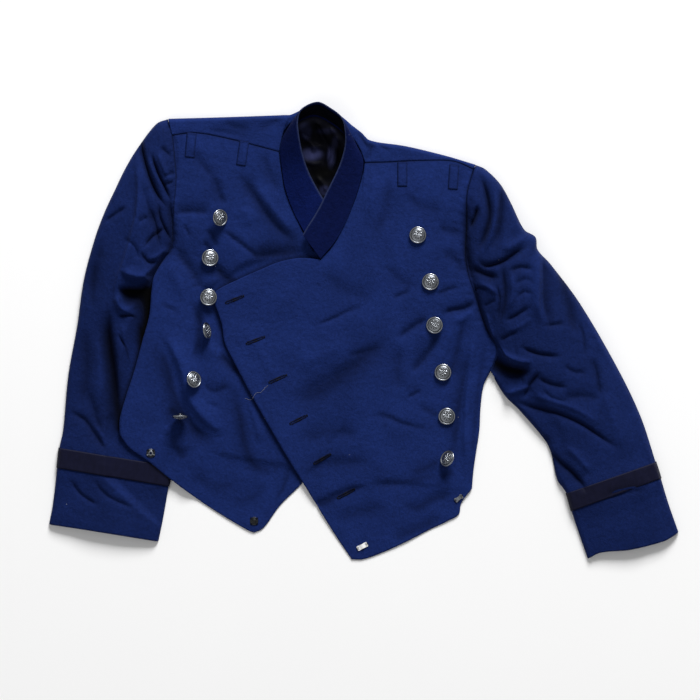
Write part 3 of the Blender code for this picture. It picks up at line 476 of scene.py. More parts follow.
def worsted_weave():
    """A close twill: fine slanting wales, a soft nap, slow shifts of shade and a little lint."""
    tree = bpy.data.node_groups.new("worsted weave", "ShaderNodeTree")
    socket_in(tree, "Dye", "NodeSocketColor", (0.008, 0.017, 0.08, 1))
    socket_in(tree, "Wales", "NodeSocketFloat", 1300.0)
    socket_in(tree, "Lint", "NodeSocketFloat", 0.5)
    for name, kind in (("Shade", "NodeSocketColor"), ("Roughness", "NodeSocketFloat"),
                       ("Height", "NodeSocketFloat"), ("Rumple", "NodeSocketFloat")):
        tree.interface.new_socket(name=name, in_out="OUTPUT", socket_type=kind)
    nodes = Nodes(tree)
    given = nodes.add("NodeGroupInput")
    plan = nodes.add("ShaderNodeUVMap", {"uv_map": "cloth"}).outputs["UV"]
    place = nodes.add("ShaderNodeTexCoord").outputs["Object"]
    parts = nodes.add("ShaderNodeSeparateXYZ", Vector=plan)
    slant = nodes.math("ADD", parts.outputs["X"], nodes.math("MULTIPLY", parts.outputs["Y"], 0.5))
    drift = nodes.add("ShaderNodeTexNoise", Vector=plan, Scale=420.0, Detail=2.0)
    slant = nodes.math("MULTIPLY_ADD", drift.outputs["Fac"], 0.0007, slant)
    wave = nodes.math("SINE", nodes.math("MULTIPLY", slant,
                                         nodes.math("MULTIPLY", given.outputs["Wales"], math.tau)))
    wale = nodes.math("MULTIPLY_ADD", wave, 0.5, 0.5)
    nap = nodes.add("ShaderNodeTexNoise", Vector=plan, Scale=950.0, Detail=3.0, Roughness=0.65)
    slub = nodes.add("ShaderNodeTexNoise", Vector=plan, Scale=160.0, Detail=3.0, Roughness=0.6)
    shade = nodes.add("ShaderNodeTexNoise", Vector=place, Scale=26.0, Detail=4.0, Roughness=0.6)
    fuzz = nodes.add("ShaderNodeTexVoronoi", Vector=place, Scale=55.0)
    speck = nodes.math("LESS_THAN", fuzz.outputs["Distance"], 0.028)
    rare = nodes.add("ShaderNodeSeparateColor", Color=fuzz.outputs["Color"])
    rare = nodes.math("GREATER_THAN", rare.outputs["Red"], 0.86)
    lint = nodes.math("MULTIPLY", nodes.math("MULTIPLY", speck, rare), given.outputs["Lint"])
    value = nodes.math("MULTIPLY_ADD", shade.outputs["Fac"], 0.55, 0.72)
    value = nodes.math("MULTIPLY_ADD", nap.outputs["Fac"], 0.8, nodes.math("SUBTRACT", value, 0.4))
    value = nodes.math("MULTIPLY_ADD", slub.outputs["Fac"], 0.6, nodes.math("SUBTRACT", value, 0.3))
    value = nodes.math("MULTIPLY_ADD", wale, 0.16, nodes.math("SUBTRACT", value, 0.08))
    rumple = nodes.add("ShaderNodeTexNoise", Vector=place, Scale=95.0, Detail=4.0, Roughness=0.62,
                       Distortion=0.6)
    dents = nodes.add("ShaderNodeTexNoise", Vector=place, Scale=330.0, Detail=2.0)
    rumple = nodes.math("MULTIPLY_ADD", dents.outputs["Fac"], 0.3, rumple.outputs["Fac"])
    value = nodes.math("MULTIPLY_ADD", dents.outputs["Fac"], 0.5,
                       nodes.math("SUBTRACT", value, 0.25))
    # Painted light and shade that each piece carries: lighter on ridges, darker in creases, along
    # seams and in cast shadows, and over whole parts.
    worn = nodes.add("ShaderNodeAttribute", {"attribute_name": "worn"}).outputs["Fac"]
    value = nodes.math("MULTIPLY", nodes.math("MAXIMUM", value, 0.05), worn)
    tint = nodes.mix(1.0, given.outputs["Dye"],
                     nodes.add("ShaderNodeCombineColor", Red=value, Green=value,
                               Blue=value).outputs["Color"], "MULTIPLY")
    tint = nodes.mix(lint, tint, (0.45, 0.46, 0.5, 1))
    rough = nodes.math("MULTIPLY_ADD", nap.outputs["Fac"], 0.2, 0.72)
    height = nodes.math("MULTIPLY_ADD", wale, 0.45, nodes.math("MULTIPLY", nap.outputs["Fac"], 0.4))
    height = nodes.math("MULTIPLY_ADD", slub.outputs["Fac"], 0.5, height)
    nodes.add("NodeGroupOutput", Shade=tint, Roughness=rough, Height=height, Rumple=rumple)
    return tree


def worsted(name, dye, sheen, bump=0.35, lint=0.5):
    """Wool cloth: matt, with the soft light edge that its nap gives it."""
    made, nodes, shader = new_material(name)
    weave = nodes.add("ShaderNodeGroup", {"node_tree": WEAVE}, Dye=(*dye, 1), Lint=lint)
    creased = nodes.add("ShaderNodeBump", Strength=0.5, Distance=0.0022,
                        Height=weave.outputs["Rumple"])
    raised = nodes.add("ShaderNodeBump", Strength=bump, Distance=0.0004,
                       Height=weave.outputs["Height"], Normal=creased.outputs["Normal"])
    nodes.feed_all(shader, Base_Color=weave.outputs["Shade"], Roughness=weave.outputs["Roughness"],
                   Normal=raised.outputs["Normal"], Sheen_Weight=sheen, Sheen_Roughness=0.45,
                   Sheen_Tint=(0.45, 0.55, 1.0, 1), Specular_IOR_Level=0.05)
    made.diffuse_color = (*dye, 1)
    return made


WEAVE = worsted_weave()
NAVY = worsted("navy worsted", (0.0070, 0.0182, 0.099), 0.03)

SLEEVE_TUCK_TOP = 104     # the right sleeve slides under the body below this line
SLEEVE_TUCK_RUN = 34
SLEEVE_TUCK_X = -289
SLEEVE_TUCK_SLOPE = 0.155
SLEEVE_TUCK_END_X = -262
SLEEVE_TUCK_RISE = 6.4


def climb_over_sleeve(x, y):
    """How far the back and the front above it climb where the right sleeve lies beneath."""
    tucked_x = np.minimum(SLEEVE_TUCK_X + (24 - y) * SLEEVE_TUCK_SLOPE, SLEEVE_TUCK_END_X)
    down = smooth((SLEEVE_TUCK_TOP - y) / SLEEVE_TUCK_RUN)
    inward = smooth((tucked_x + 40 - x) / 24)
    return SLEEVE_TUCK_RISE * down * inward


def x_on(rows, y):
    return np.interp(y, [row.y for row in rows], [row.x for row in rows])


def y_on(rows, x):
    return np.interp(x, [row.x for row in rows], [row.y for row in rows])


def above_back(x, y):
    """The lowest that the middle of a front's wall may lie over the back."""
    over = smooth((y - y_on(BACK_HEM, x) + 14) / 12)
    return BACK_LEVEL + over * (WALL + 1.1) + climb_over_sleeve(x, y)


LEFT_BODY_SIDE = joined((LEFT_SIDE, LEFT_UNDERARM), (LEFT_ARMHOLE, 1.0))
RIGHT_BODY_SIDE = joined((RIGHT_SIDE, RIGHT_UNDERARM), (RIGHT_ARMHOLE, 1.0))
BACK_LEFT_SIDE = joined((LEFT_SIDE, LEFT_UNDERARM), (LEFT_ARMHOLE, 0.98),
                        (LEFT_BACK_ARMHOLE, 1.0))
BACK_RIGHT_SIDE = joined((RIGHT_SIDE, 0.55), (RIGHT_ARMHOLE, 0.93),
                         (reversed_edge(RIGHT_BACK_ARMHOLE), 1.0))
BACK_TOP_EDGE = joined((RIGHT_SHOULDER, 1 - NECK_END), (BACK_NECK, NECK_END),
                       (LEFT_SHOULDER, 1.0))


def back_surface(s, t):
    """t runs 0 to 1 up the flat of the back, 1 to 2 round the roll, and 2 to 3 over the top.
    The flat part stops short of the fronts' turned-down sides."""
    inset = SEAM_INSET + (UNDER_INSET - SEAM_INSET) * smooth((1.02 - t) / 0.06)
    inset -= (UNDER_INSET + ARMHOLE_REACH) * smooth((t - 0.62) / 0.05) * smooth((1 - t) / 0.012)
    inset /= BACK_SIZE[0]
    s = np.clip(s, np.maximum(inset, 0), 1 - np.maximum(inset, 0))
    s = 0.5 + (s - 0.5) * (1 - 2 * np.minimum(inset, 0))
    fold = edge_curve(BACK_FOLD, s)
    end = edge_curve(BACK_TOP_EDGE, s)
    forward = end[:, :2] - fold[:, :2]
    reach = np.hypot(forward[:, 0], forward[:, 1])
    forward = forward / reach[:, None]
    radius = np.minimum(BACK_ROLL, 0.45 * reach)
    height = (end[:, 2] - BACK_LEVEL) / 2
    points = patch(at_level(BACK_HEM), at_level(BACK_FOLD), at_level(BACK_RIGHT_SIDE),
                   at_level(BACK_LEFT_SIDE), s, np.clip(t, 0, 1))
    points[:, :2] += forward * (radius * np.clip(t, 0, 1) ** 6)[:, None]
    points[:, 2] += climb_over_sleeve(points[:, 0], points[:, 1])
    angle = np.pi * (np.clip(t - 1, 0, 1) - 0.5)
    rolled = t > 1
    turn = (radius * (1 - np.cos(angle)))[:, None]
    points[rolled, :2] = (fold[:, :2] + forward * turn)[rolled]
    points[rolled, 2] = (BACK_LEVEL + height * (1 + np.sin(angle)))[rolled]
    over = t > 2
    run = np.clip(t - 2, 0, 1)
    stretch = (radius + (reach - SEAM_INSET - radius) * run)[:, None]
    points[over, :2] = (fold[:, :2] + forward * stretch)[over]
    top = smooth((t - 1.3) / 0.7) * smooth((reach - radius) / 12)
    seam = (1 - run) * np.maximum(reach - radius, 0.1)
    creased = 0.8 * top * crease_height(SHOULDER_CREASES, points[:, 0], points[:, 1])
    points[:, 2] += creased + top * pucker(s * 420, seam, rise=0.3)
    points[:, 2] += np.where(over, rolled_edge(seam), 0)
    return np.column_stack([points, painted_crease_light_and_shade(creased) * np.where(over, painted_seam_shade(seam), 1)])


back_across = stations(BACK_SIZE[0], 4.2, (1 - NECK_END, NECK_END))
back_up = even(70) + spread(1, 2, even(10))[1:] + [2 + q for q in stations(30, 3.0)[3:]]
back = cloth("back_panel", back_surface, BACK_SIZE, back_across, back_up, NAVY)
sewn_in(back, "back")

# ---- right front ----
# The front that lies beneath, in the same worsted. Its plastron runs in under the other
# front, and a tailor presses it flat there. Sewn to the back at the side and the shoulder,
# and to the sleeve round the armhole.

RIGHT_NECK = (
    Edge(0.00, -116, 242, 13),
    Edge(0.20, -113, 219, 12),
    Edge(0.48, -106, 186, 9.5),
    Edge(0.78, -86, 140, 7.5),
    Edge(1.00, -70, 110, 6.5),
)
RIGHT_HEM = (
    Edge(0.00, -330, -138, 10.5),
    Edge(0.08, -317, -156, 10),
    Edge(0.22, -292, -174, 9.4),
    Edge(0.40, -260, -200, 8.4),
    Edge(0.60, -222, -228, 1.2),
    Edge(0.78, -188, -250, 0.8),
    Edge(0.95, -157, -268, 0.8),
    Edge(1.00, -149, -271, 0.8),
)
RIGHT_FRONT_EDGE = (
    Edge(0.00, -149, -271, 0.8),
    Edge(0.07, -136, -264, 0.8),
    Edge(0.18, -114, -234, 0.8),
    Edge(0.29, -83, -203, 1.2),
    Edge(0.42, -52, -165, 4.0),
    Edge(0.60, -5, -95, 4.4),
    Edge(0.80, 45, -20, 4.6),
    Edge(1.00, 84, 38, 5.0),
)
RIGHT_PLASTRON_TOP = (
    Edge(0.0, -70, 110, 6.5),
    Edge(0.3, -20, 92, 6.0),
    Edge(0.6, 30, 68, 5.5),
    Edge(1.0, 84, 38, 5.0),
)
LEFT_FRONT_EDGE = (
    Edge(0.00, -17, -307, 0.8),
    Edge(0.09, -38, -276, 1.4),
    Edge(0.18, -60, -241, 2.8),
    Edge(0.28, -83, -203, 5.5),
    Edge(0.36, -101, -174, 8.0),
    Edge(0.45, -121, -140, 9.0),
    Edge(0.57, -148, -93, 9.5),
    Edge(0.70, -175, -42, 9.5),
    Edge(0.78, -188, -15, 9.5),
    Edge(0.86, -192, 10, 10.5),
    Edge(1.00, -205, 47, 12),
)
LEFT_PLASTRON_TOP = (
    Edge(0.00, -205, 47, 12),
    Edge(0.06, -198, 56, 12),
    Edge(0.28, -168, 71, 10.5),
    Edge(0.48, -141, 83, 11),
    Edge(0.68, -114, 94, 11.5),
    Edge(0.86, -86, 99, 12),
    Edge(1.00, -59, 97, 12.5),
)
SEAM_CREASES = (
    # the cloth sinks along the armholes
    Crease(((138, 183), (136, 142), (137, 110), (141, 86), (149, 56)), 7, 7, -7.0),
    Crease(((145, 75), (152, 43), (161, 13), (179, -25)), 5, 6, -4.8),
    Crease(((-264, 183), (-259, 142), (-259, 119), (-272, 88)), 5, 6, -5.6),
    Crease(((-260, 275), (-254, 245), (-253, 202)), 4, 4, -1.6),
    Crease(((130, 226), (128, 191)), 3, 3, -1.6),
)
RIGHT_FRONT_CREASES = (
    # thin drag line from the top button
    Crease(((-194, 138), (-168, 119), (-141, 97)), 4, 4, -3.6),
    # long soft trough from the shoulder
    Crease(((-173, 218), (-146, 178), (-119, 142), (-84, 113)), 11, 11, -5.2),
    Crease(((-152, 207), (-125, 167), (-92, 129)), 8, 12, 3.0),
    Crease(((-203, 210), (-196, 186), (-188, 167)), 6, 9, -3.6),
    Crease(((-236, 245), (-214, 218), (-198, 199)), 10, 10, -2.4),
    Crease(((-244, 145), (-234, 125)), 3, 3, -2.2),
    Crease(((-215, 138), (-205, 129), (-198, 110)), 4, 4, -3.0),
    Crease(((-218, 122), (-206, 106)), 4, 4, -2.6),
    # crease from the armhole to the third button
    Crease(((-260, 115), (-241, 91), (-219, 59)), 9, 5, -4.6),
    # ridge beside it
    Crease(((-268, 94), (-253, 70), (-244, 43)), 8, 10, 2.6),
    # step below the chest
    Crease(((-260, 159), (-236, 160), (-206, 159)), 13, 3, -3.8),
    # deep fold that runs in under the other front
    Crease(((-206, 94), (-187, 75), (-164, 57)), 4, 12, -6.5),
    # hollow by the collar's end
    Crease(((-160, 99), (-122, 103), (-79, 109)), 16, 6, -6.0),
    Crease(((-233, 61), (-217, 64)), 3, 4, -2.4),
    Crease(((-164, 169), (-152, 142)), 11, 11, 2.2),
    # front of the bulge over the waist
    Crease(((-279, 9), (-257, -25), (-245, -55), (-238, -84),
            (-222, -111), (-200, -130), (-171, -138)), 24, 7, 6.5),
    # trough left of it
    Crease(((-290, -3), (-268, -41), (-259, -76),
            (-245, -111), (-222, -138), (-187, -155)), 6, 14, -5.2),
    # pit where the last button hangs
    Crease(((-265, -98), (-254, -111), (-236, -114)), 6, 8, -6.0),
    Crease(((-263, -138), (-252, -157), (-240, -176)), 8, 8, -3.6),
    Crease(((-268, -126), (-263, -141)), 6, 6, 1.8),
    # long fold beside the other front's edge
    Crease(((-179, -74), (-168, -113), (-161, -153), (-146, -182), (-109, -187)), 8, 9, -5.0),
    Crease(((-157, -82), (-146, -122), (-138, -160)), 7, 7, 2.8),
    Crease(((-101, -179), (-105, -200), (-121, -232)), 3, 5, -3.0),
    Crease(((-233, 43), (-223, 13), (-226, -22), (-234, -47)), 8, 7, -4.6),
    Crease(((-215, 18), (-207, -11), (-214, -41)), 8, 8, 2.4),
    Crease(((-198, -25), (-182, -44), (-164, -60)), 6, 9, -6.0),
    Crease(((-276, 43), (-265, 32), (-249, 26)), 3, 3, -1.8),
    Crease(((-222, -70), (-202, -82), (-179, -71)), 8, 8, -2.4),
    Crease(((-218, -95), (-192, -105)), 4, 4, -1.8),
    Crease(((-236, -192), (-203, -209), (-168, -206)), 12, 10, -2.0),
    Crease(((-184, -236), (-155, -225), (-130, -209)), 10, 10, -1.8),
    Crease(((-138, 245), (-130, 215), (-114, 183)), 9, 9, -2.2),
)

PRESSED_LEVEL = 5.0       # the right front lies this low beneath the left one
FRONT_CELL = 2.3
RIGHT_FRONT_RISE = 350    # from a front's hem to its top, along the cloth
LEFT_FRONT_RISE = 430
FRONT_SIDE_INSET = SEAM_INSET / 300   # a seam's inset, as a share of a front's width
FRONT_TOP_INSET = SEAM_INSET / 400    # and of its length
FAR = 400                 # added to a distance whose edge doesn't count there
SIDE_FADE = 300           # how soon the turned-down side ends above the underarm


def inside_left_front(x, y):
    """How far in under the left front x, y is, or how far outside it where it is negative."""
    return np.minimum(x - x_on(LEFT_FRONT_EDGE, y), y_on(LEFT_PLASTRON_TOP, x) - y)


def right_front_surface(s, t):
    top = joined((RIGHT_SHOULDER, 1 - NECK_END), (RIGHT_NECK, 1 - PLASTRON_END),
                 (RIGHT_PLASTRON_TOP, 1.0))
    points = patch(RIGHT_HEM, top, RIGHT_BODY_SIDE, RIGHT_FRONT_EDGE, s, t)
    x, y = points[:, 0], points[:, 1]
    width = plan_width(RIGHT_BODY_SIDE, RIGHT_FRONT_EDGE, t)
    from_side, from_edge = s * width, (1 - s) * width
    from_hem, from_top = t * RIGHT_FRONT_RISE, (1 - t) * RIGHT_FRONT_RISE
    armhole = smooth((t - RIGHT_UNDERARM) / 0.02)
    seam = np.minimum(from_side + FAR * (1 - armhole), from_top)
    free = np.minimum(np.minimum(from_side + FAR * armhole, from_edge), from_hem)
    creased = smooth(seam / 7) * crease_height(RIGHT_FRONT_CREASES, x, y)
    creased += crease_height(SEAM_CREASES, x, y)
    points[:, 2] += creased
    points[:, 2] += smooth(np.minimum(seam, free) / 16) * lie_of_the_cloth(x, y)
    points[:, 2] += pucker(from_hem, from_side + FAR * (1 - armhole)) * smooth(seam / 3)
    inside = inside_left_front(x, y)
    points[:, 2] = at_most(points[:, 2], PRESSED_LEVEL + 20 * smooth((-8 - inside) / 34))
    points[:, 2] += rolled_edge(seam)
    points[:, 2] = at_least(points[:, 2], above_back(x, y), 0.5)
    points[:, 2] += rolled_edge(np.minimum(from_edge, from_hem), 0.6)
    distance = from_side + SIDE_FADE * np.clip(t - RIGHT_UNDERARM, 0, 1)
    # Painted shadow on the cloth just outside the left front's raised edge.
    painted_shadow = 1 - 0.5 * np.exp(-(np.minimum(inside, 0) / 5) ** 2)
    worn = painted_crease_light_and_shade(creased) * painted_seam_shade(seam) * painted_shadow
    points = turn_down(points, distance, BACK_LEVEL + climb_over_sleeve(x, y))
    return np.column_stack([points, worn])


right_front = cloth("right_front_panel", right_front_surface, (400, 400),
                    [max(q, FRONT_SIDE_INSET) for q in
                     stations(380, FRONT_CELL, (1 - NECK_END, 1 - PLASTRON_END))],
                    [min(q, 1 - FRONT_TOP_INSET) for q in
                     stations(400, FRONT_CELL, (RIGHT_UNDERARM,))], NAVY)
sewn_in(right_front, "right_front")

# ---- left front ----
# The front on top, with the plastron that crosses the chest. It is faced along its edge, so
# the edge is thick and rounded and stands clear of the cloth beneath.

LEFT_NECK = (
    Edge(0.00, -59, 97, 12.5),
    Edge(0.30, -39, 121, 12.5),
    Edge(0.58, -15, 171, 13),
    Edge(0.85, -2, 211, 13.5),
    Edge(1.00, 1, 227, 14),
)
LEFT_HEM = (
    Edge(0.00, -17, -307, 0.8),
    Edge(0.10, -2, -307, 0.8),
    Edge(0.27, 24, -298, 0.9),
    Edge(0.47, 55, -284, 1.6),
    Edge(0.69, 88, -267, 1.0),
    Edge(0.84, 113, -255, 1.4),
    Edge(0.91, 127, -246, 1.6),
    Edge(0.95, 130, -231, 2.2),
    Edge(1.00, 145, -211, 4.0),
)
LEFT_FRONT_CREASES = (
    Crease(((-68, 7), (-40, 18), (-20, 28), (2, 34)), 4, 3.5, -2.6),
    Crease(((-29, -34), (-3, -28), (26, -21)), 3.5, 4, -2.2),
    Crease(((37, 44), (64, 56)), 4, 4, -2.4),
    # drag line from the armhole to the third button
    Crease(((151, 44), (137, 32), (115, 28), (103, 18)), 6, 5, -5.2),
    Crease(((148, 32), (134, 18), (118, 13)), 5, 5, 2.4),
    Crease(((88, 18), (70, 9), (43, -11)), 6, 7, -4.2),
    Crease(((102, 2), (88, -26), (59, -61)), 5, 8, -4.4),
    Crease(((137, 26), (128, -9), (121, -41), (106, -79)), 6, 5, -3.4),
    Crease(((122, 18), (110, -18), (97, -55)), 6, 6, 2.6),
    Crease(((56, -90), (78, -79)), 3, 3.5, -2.4),
    Crease(((5, -111), (30, -115), (53, -125), (91, -132)), 4, 5, -2.6),
    Crease(((72, -102), (88, -107), (102, -117)), 4, 5, -3.8),
    Crease(((-92, -234), (-60, -232), (-29, -217), (10, -207)), 5, 9, -4.4),
    Crease(((2, -209), (48, -203), (105, -192)), 6, 9, -2.8),
    Crease(((49, -238), (72, -236), (92, -225), (122, -219)), 5, 8, -3.8),
    Crease(((34, -284), (72, -265), (110, -249)), 8, 8, -2.8),
    # trough down the side
    Crease(((140, -25), (132, -72), (125, -119), (119, -173)), 7, 9, -4.4),
    # ridge down the side
    Crease(((156, 26), (146, -18), (140, -68), (136, -133), (137, -200)), 6, 5, 3.6),
    Crease(((164, -5), (155, -65), (148, -133), (144, -194)), 5, 5, -2.4),
    Crease(((94, 48), (110, 55), (128, 60)), 4, 4, -2.6),
    Crease(((97, 142), (115, 134), (134, 132)), 10, 10, -2.6),
    Crease(((102, 110), (124, 94), (137, 75)), 9, 9, -2.2),
    Crease(((13, 223), (11, 188), (6, 142)), 7, 7, 2.0),
    Crease(((32, 210), (28, 161), (7, 118)), 10, 10, -2.2),
    # drape across the waist
    Crease(((-111, -92), (-71, -82), (-28, -55), (13, -25), (43, -6)), 16, 22, -4.6),
    Crease(((-101, -47), (-57, -33), (-17, -6)), 20, 14, 2.2),
    Crease(((-92, -148), (-49, -134), (-1, -142)), 11, 14, -2.6),
    Crease(((59, -192), (84, -183), (106, -172)), 6, 6, -3.2),
    Crease(((99, -198), (122, -187)), 4, 6, -3.0),
    Crease(((47, -18), (44, -52), (47, -84)), 11, 11, -2.4),
    Crease(((-92, -190), (-47, -178), (16, -178)), 12, 12, -2.4),
    Crease(((-171, 18), (-141, -28), (-110, -84)), 12, 14, 1.8),
    Crease(((-60, 83), (-28, 56), (16, 43)), 16, 16, -1.8),
    Crease(((-47, -254), (-3, -244), (37, -238)), 10, 12, -2.2),
    Crease(((51, 191), (72, 169), (110, 161)), 12, 12, -1.8),
    Crease(((26, 94), (48, 67), (78, 59)), 10, 10, -1.8),
)

ABOVE_RIGHT_FRONT = 7.2


def above_right_front(x, y):
    """The lowest that the left front may lie, where the right one is beneath it."""
    over = smooth((x_on(RIGHT_FRONT_EDGE, y) + 14 - x) / 22) * smooth((y + 215) / 30)
    return (ABOVE_RIGHT_FRONT - BACK_LEVEL) * over


def left_front_surface(s, t):
    top = joined((LEFT_PLASTRON_TOP, PLASTRON_END), (LEFT_NECK, NECK_END),
                 (LEFT_SHOULDER, 1.0))
    points = patch(LEFT_HEM, top, LEFT_FRONT_EDGE, LEFT_BODY_SIDE, s, t)
    x, y = points[:, 0], points[:, 1]
    width = plan_width(LEFT_FRONT_EDGE, LEFT_BODY_SIDE, t)
    from_side, from_edge = (1 - s) * width, s * width
    from_hem, from_top = t * LEFT_FRONT_RISE, (1 - t) * LEFT_FRONT_RISE
    armhole = smooth((t - LEFT_UNDERARM) / 0.02)
    plastron = smooth((PLASTRON_END - s) / 0.01)
    seam = np.minimum(from_side + FAR * (1 - armhole), from_top + FAR * plastron)
    open_edge = np.minimum(np.minimum(from_edge, from_hem), from_top + FAR * (1 - plastron))
    free = np.minimum(from_side + FAR * armhole, open_edge)
    creased = crease_height(LEFT_FRONT_CREASES, x, y) \
        * smooth(np.minimum(seam / 7, 0.35 + free / 6))
    creased += crease_height(SEAM_CREASES, x, y)
    points[:, 2] += creased
    points[:, 2] += smooth(np.minimum(seam, free) / 16) * lie_of_the_cloth(x, y)
    points[:, 2] += pucker(from_hem, from_side + FAR * (1 - armhole)) * smooth(seam / 3)
    points[:, 2] += rolled_edge(seam)
    floor = np.maximum(above_back(x, y), above_right_front(x, y))
    points[:, 2] = at_least(points[:, 2], floor, 0.5)
    points[:, 2] += rolled_edge(open_edge, 0.8)
    distance = from_side + SIDE_FADE * np.clip(t - LEFT_UNDERARM, 0, 1)
    points = turn_down(points, distance, 0.6)
    return np.column_stack([points, painted_crease_light_and_shade(creased) * painted_seam_shade(seam)])


left_front = cloth("left_front_panel", left_front_surface, (385, 530),
                   [min(q, 1 - FRONT_SIDE_INSET) for q in
                    stations(370, FRONT_CELL, (PLASTRON_END, NECK_END))],
                   [min(q, 1 - FRONT_TOP_INSET) for q in
                    stations(500, FRONT_CELL, (LEFT_UNDERARM,))], NAVY)
sewn_in(left_front, "left_front")

# ---- sleeves ----
# Each sleeve has a top and an under piece of the same worsted. The top piece puffs up and
# crumples at the armhole and the elbow, and the under piece lies flat beneath it. They meet
# at the two long seams, and the cuff is open.

LEFT_CUFF_HEM = (
    Edge(0.00, 302, -306, 4),
    Edge(0.15, 318, -298, 6),
    Edge(0.45, 358, -294, 7),
    Edge(0.82, 402, -283, 6),
    Edge(0.92, 414, -277, 5),
    Edge(1.00, 423, -271, 4),
)
LEFT_INNER = (
    Edge(0.00, 302, -306, 5),
    Edge(0.15, 280, -242, 6),
    Edge(0.20, 273, -218, 7),
    Edge(0.29, 261, -200, 7),
    Edge(0.45, 252, -162, 7),
    Edge(0.52, 244, -146, 7),
    Edge(0.73, 210, -106, 7),
    Edge(0.84, 190, -86, 6.5),
    Edge(1.00, 170, -53, 6),
)
LEFT_OUTER = (
    Edge(0.00, 423, -271, 5),
    Edge(0.07, 410, -234, 6),
    Edge(0.15, 399, -198, 6.5),
    Edge(0.20, 392, -176, 7),
    Edge(0.31, 372, -115, 8),
    Edge(0.42, 342, -52, 9),
    Edge(0.59, 291, 36, 10),
    Edge(0.71, 250, 91, 12),
    Edge(0.75, 233, 110, 14),
    Edge(0.78, 230, 127, 15),
    Edge(0.81, 215, 137, 15),
    Edge(0.88, 196, 175, 15),
    Edge(0.92, 183, 198, 15),
    Edge(0.97, 163, 218, 12),
    Edge(1.00, 150, 224, 8),
)
RIGHT_CUFF_HEM = (
    Edge(0.00, -425, -260, 4),
    Edge(0.28, -384, -266, 7),
    Edge(0.65, -330, -274.5, 7),
    Edge(1.00, -279, -283, 4),
)
RIGHT_OUTER = (
    Edge(0.00, -425, -260, 5),
    Edge(0.05, -420, -234, 6),
    Edge(0.15, -414, -184, 6.5),
    Edge(0.20, -411, -157, 7),
    Edge(0.24, -406, -133, 7.5),
    Edge(0.37, -399, -59, 8),
    Edge(0.48, -387, 8, 9),
    Edge(0.58, -378, 70, 10),
    Edge(0.68, -363, 126, 11),
    Edge(0.74, -350.5, 160, 11.5),
    Edge(0.80, -336.5, 190, 12),
    Edge(0.85, -322, 220, 12),
    Edge(0.90, -305, 248, 12),
    Edge(0.96, -281, 279, 11),
    Edge(1.00, -265, 286, 8),
)
RIGHT_INNER = (
    Edge(0.00, -279, -283, 5),
    Edge(0.06, -273, -254, 5),
    Edge(0.15, -265, -209, 3.4),
    Edge(0.20, -260, -182, 3.4),
    Edge(0.28, -262, -150, 3.4),
    Edge(0.46, -266, -80, 3.4),
    Edge(0.63, -276, -18, 3.4),
    Edge(0.74, -283, 24, 3.6),
    Edge(0.83, -280, 56, 4),
    Edge(0.88, -276, 76, 5.5),
    Edge(1.00, -260, 113, 9),
)
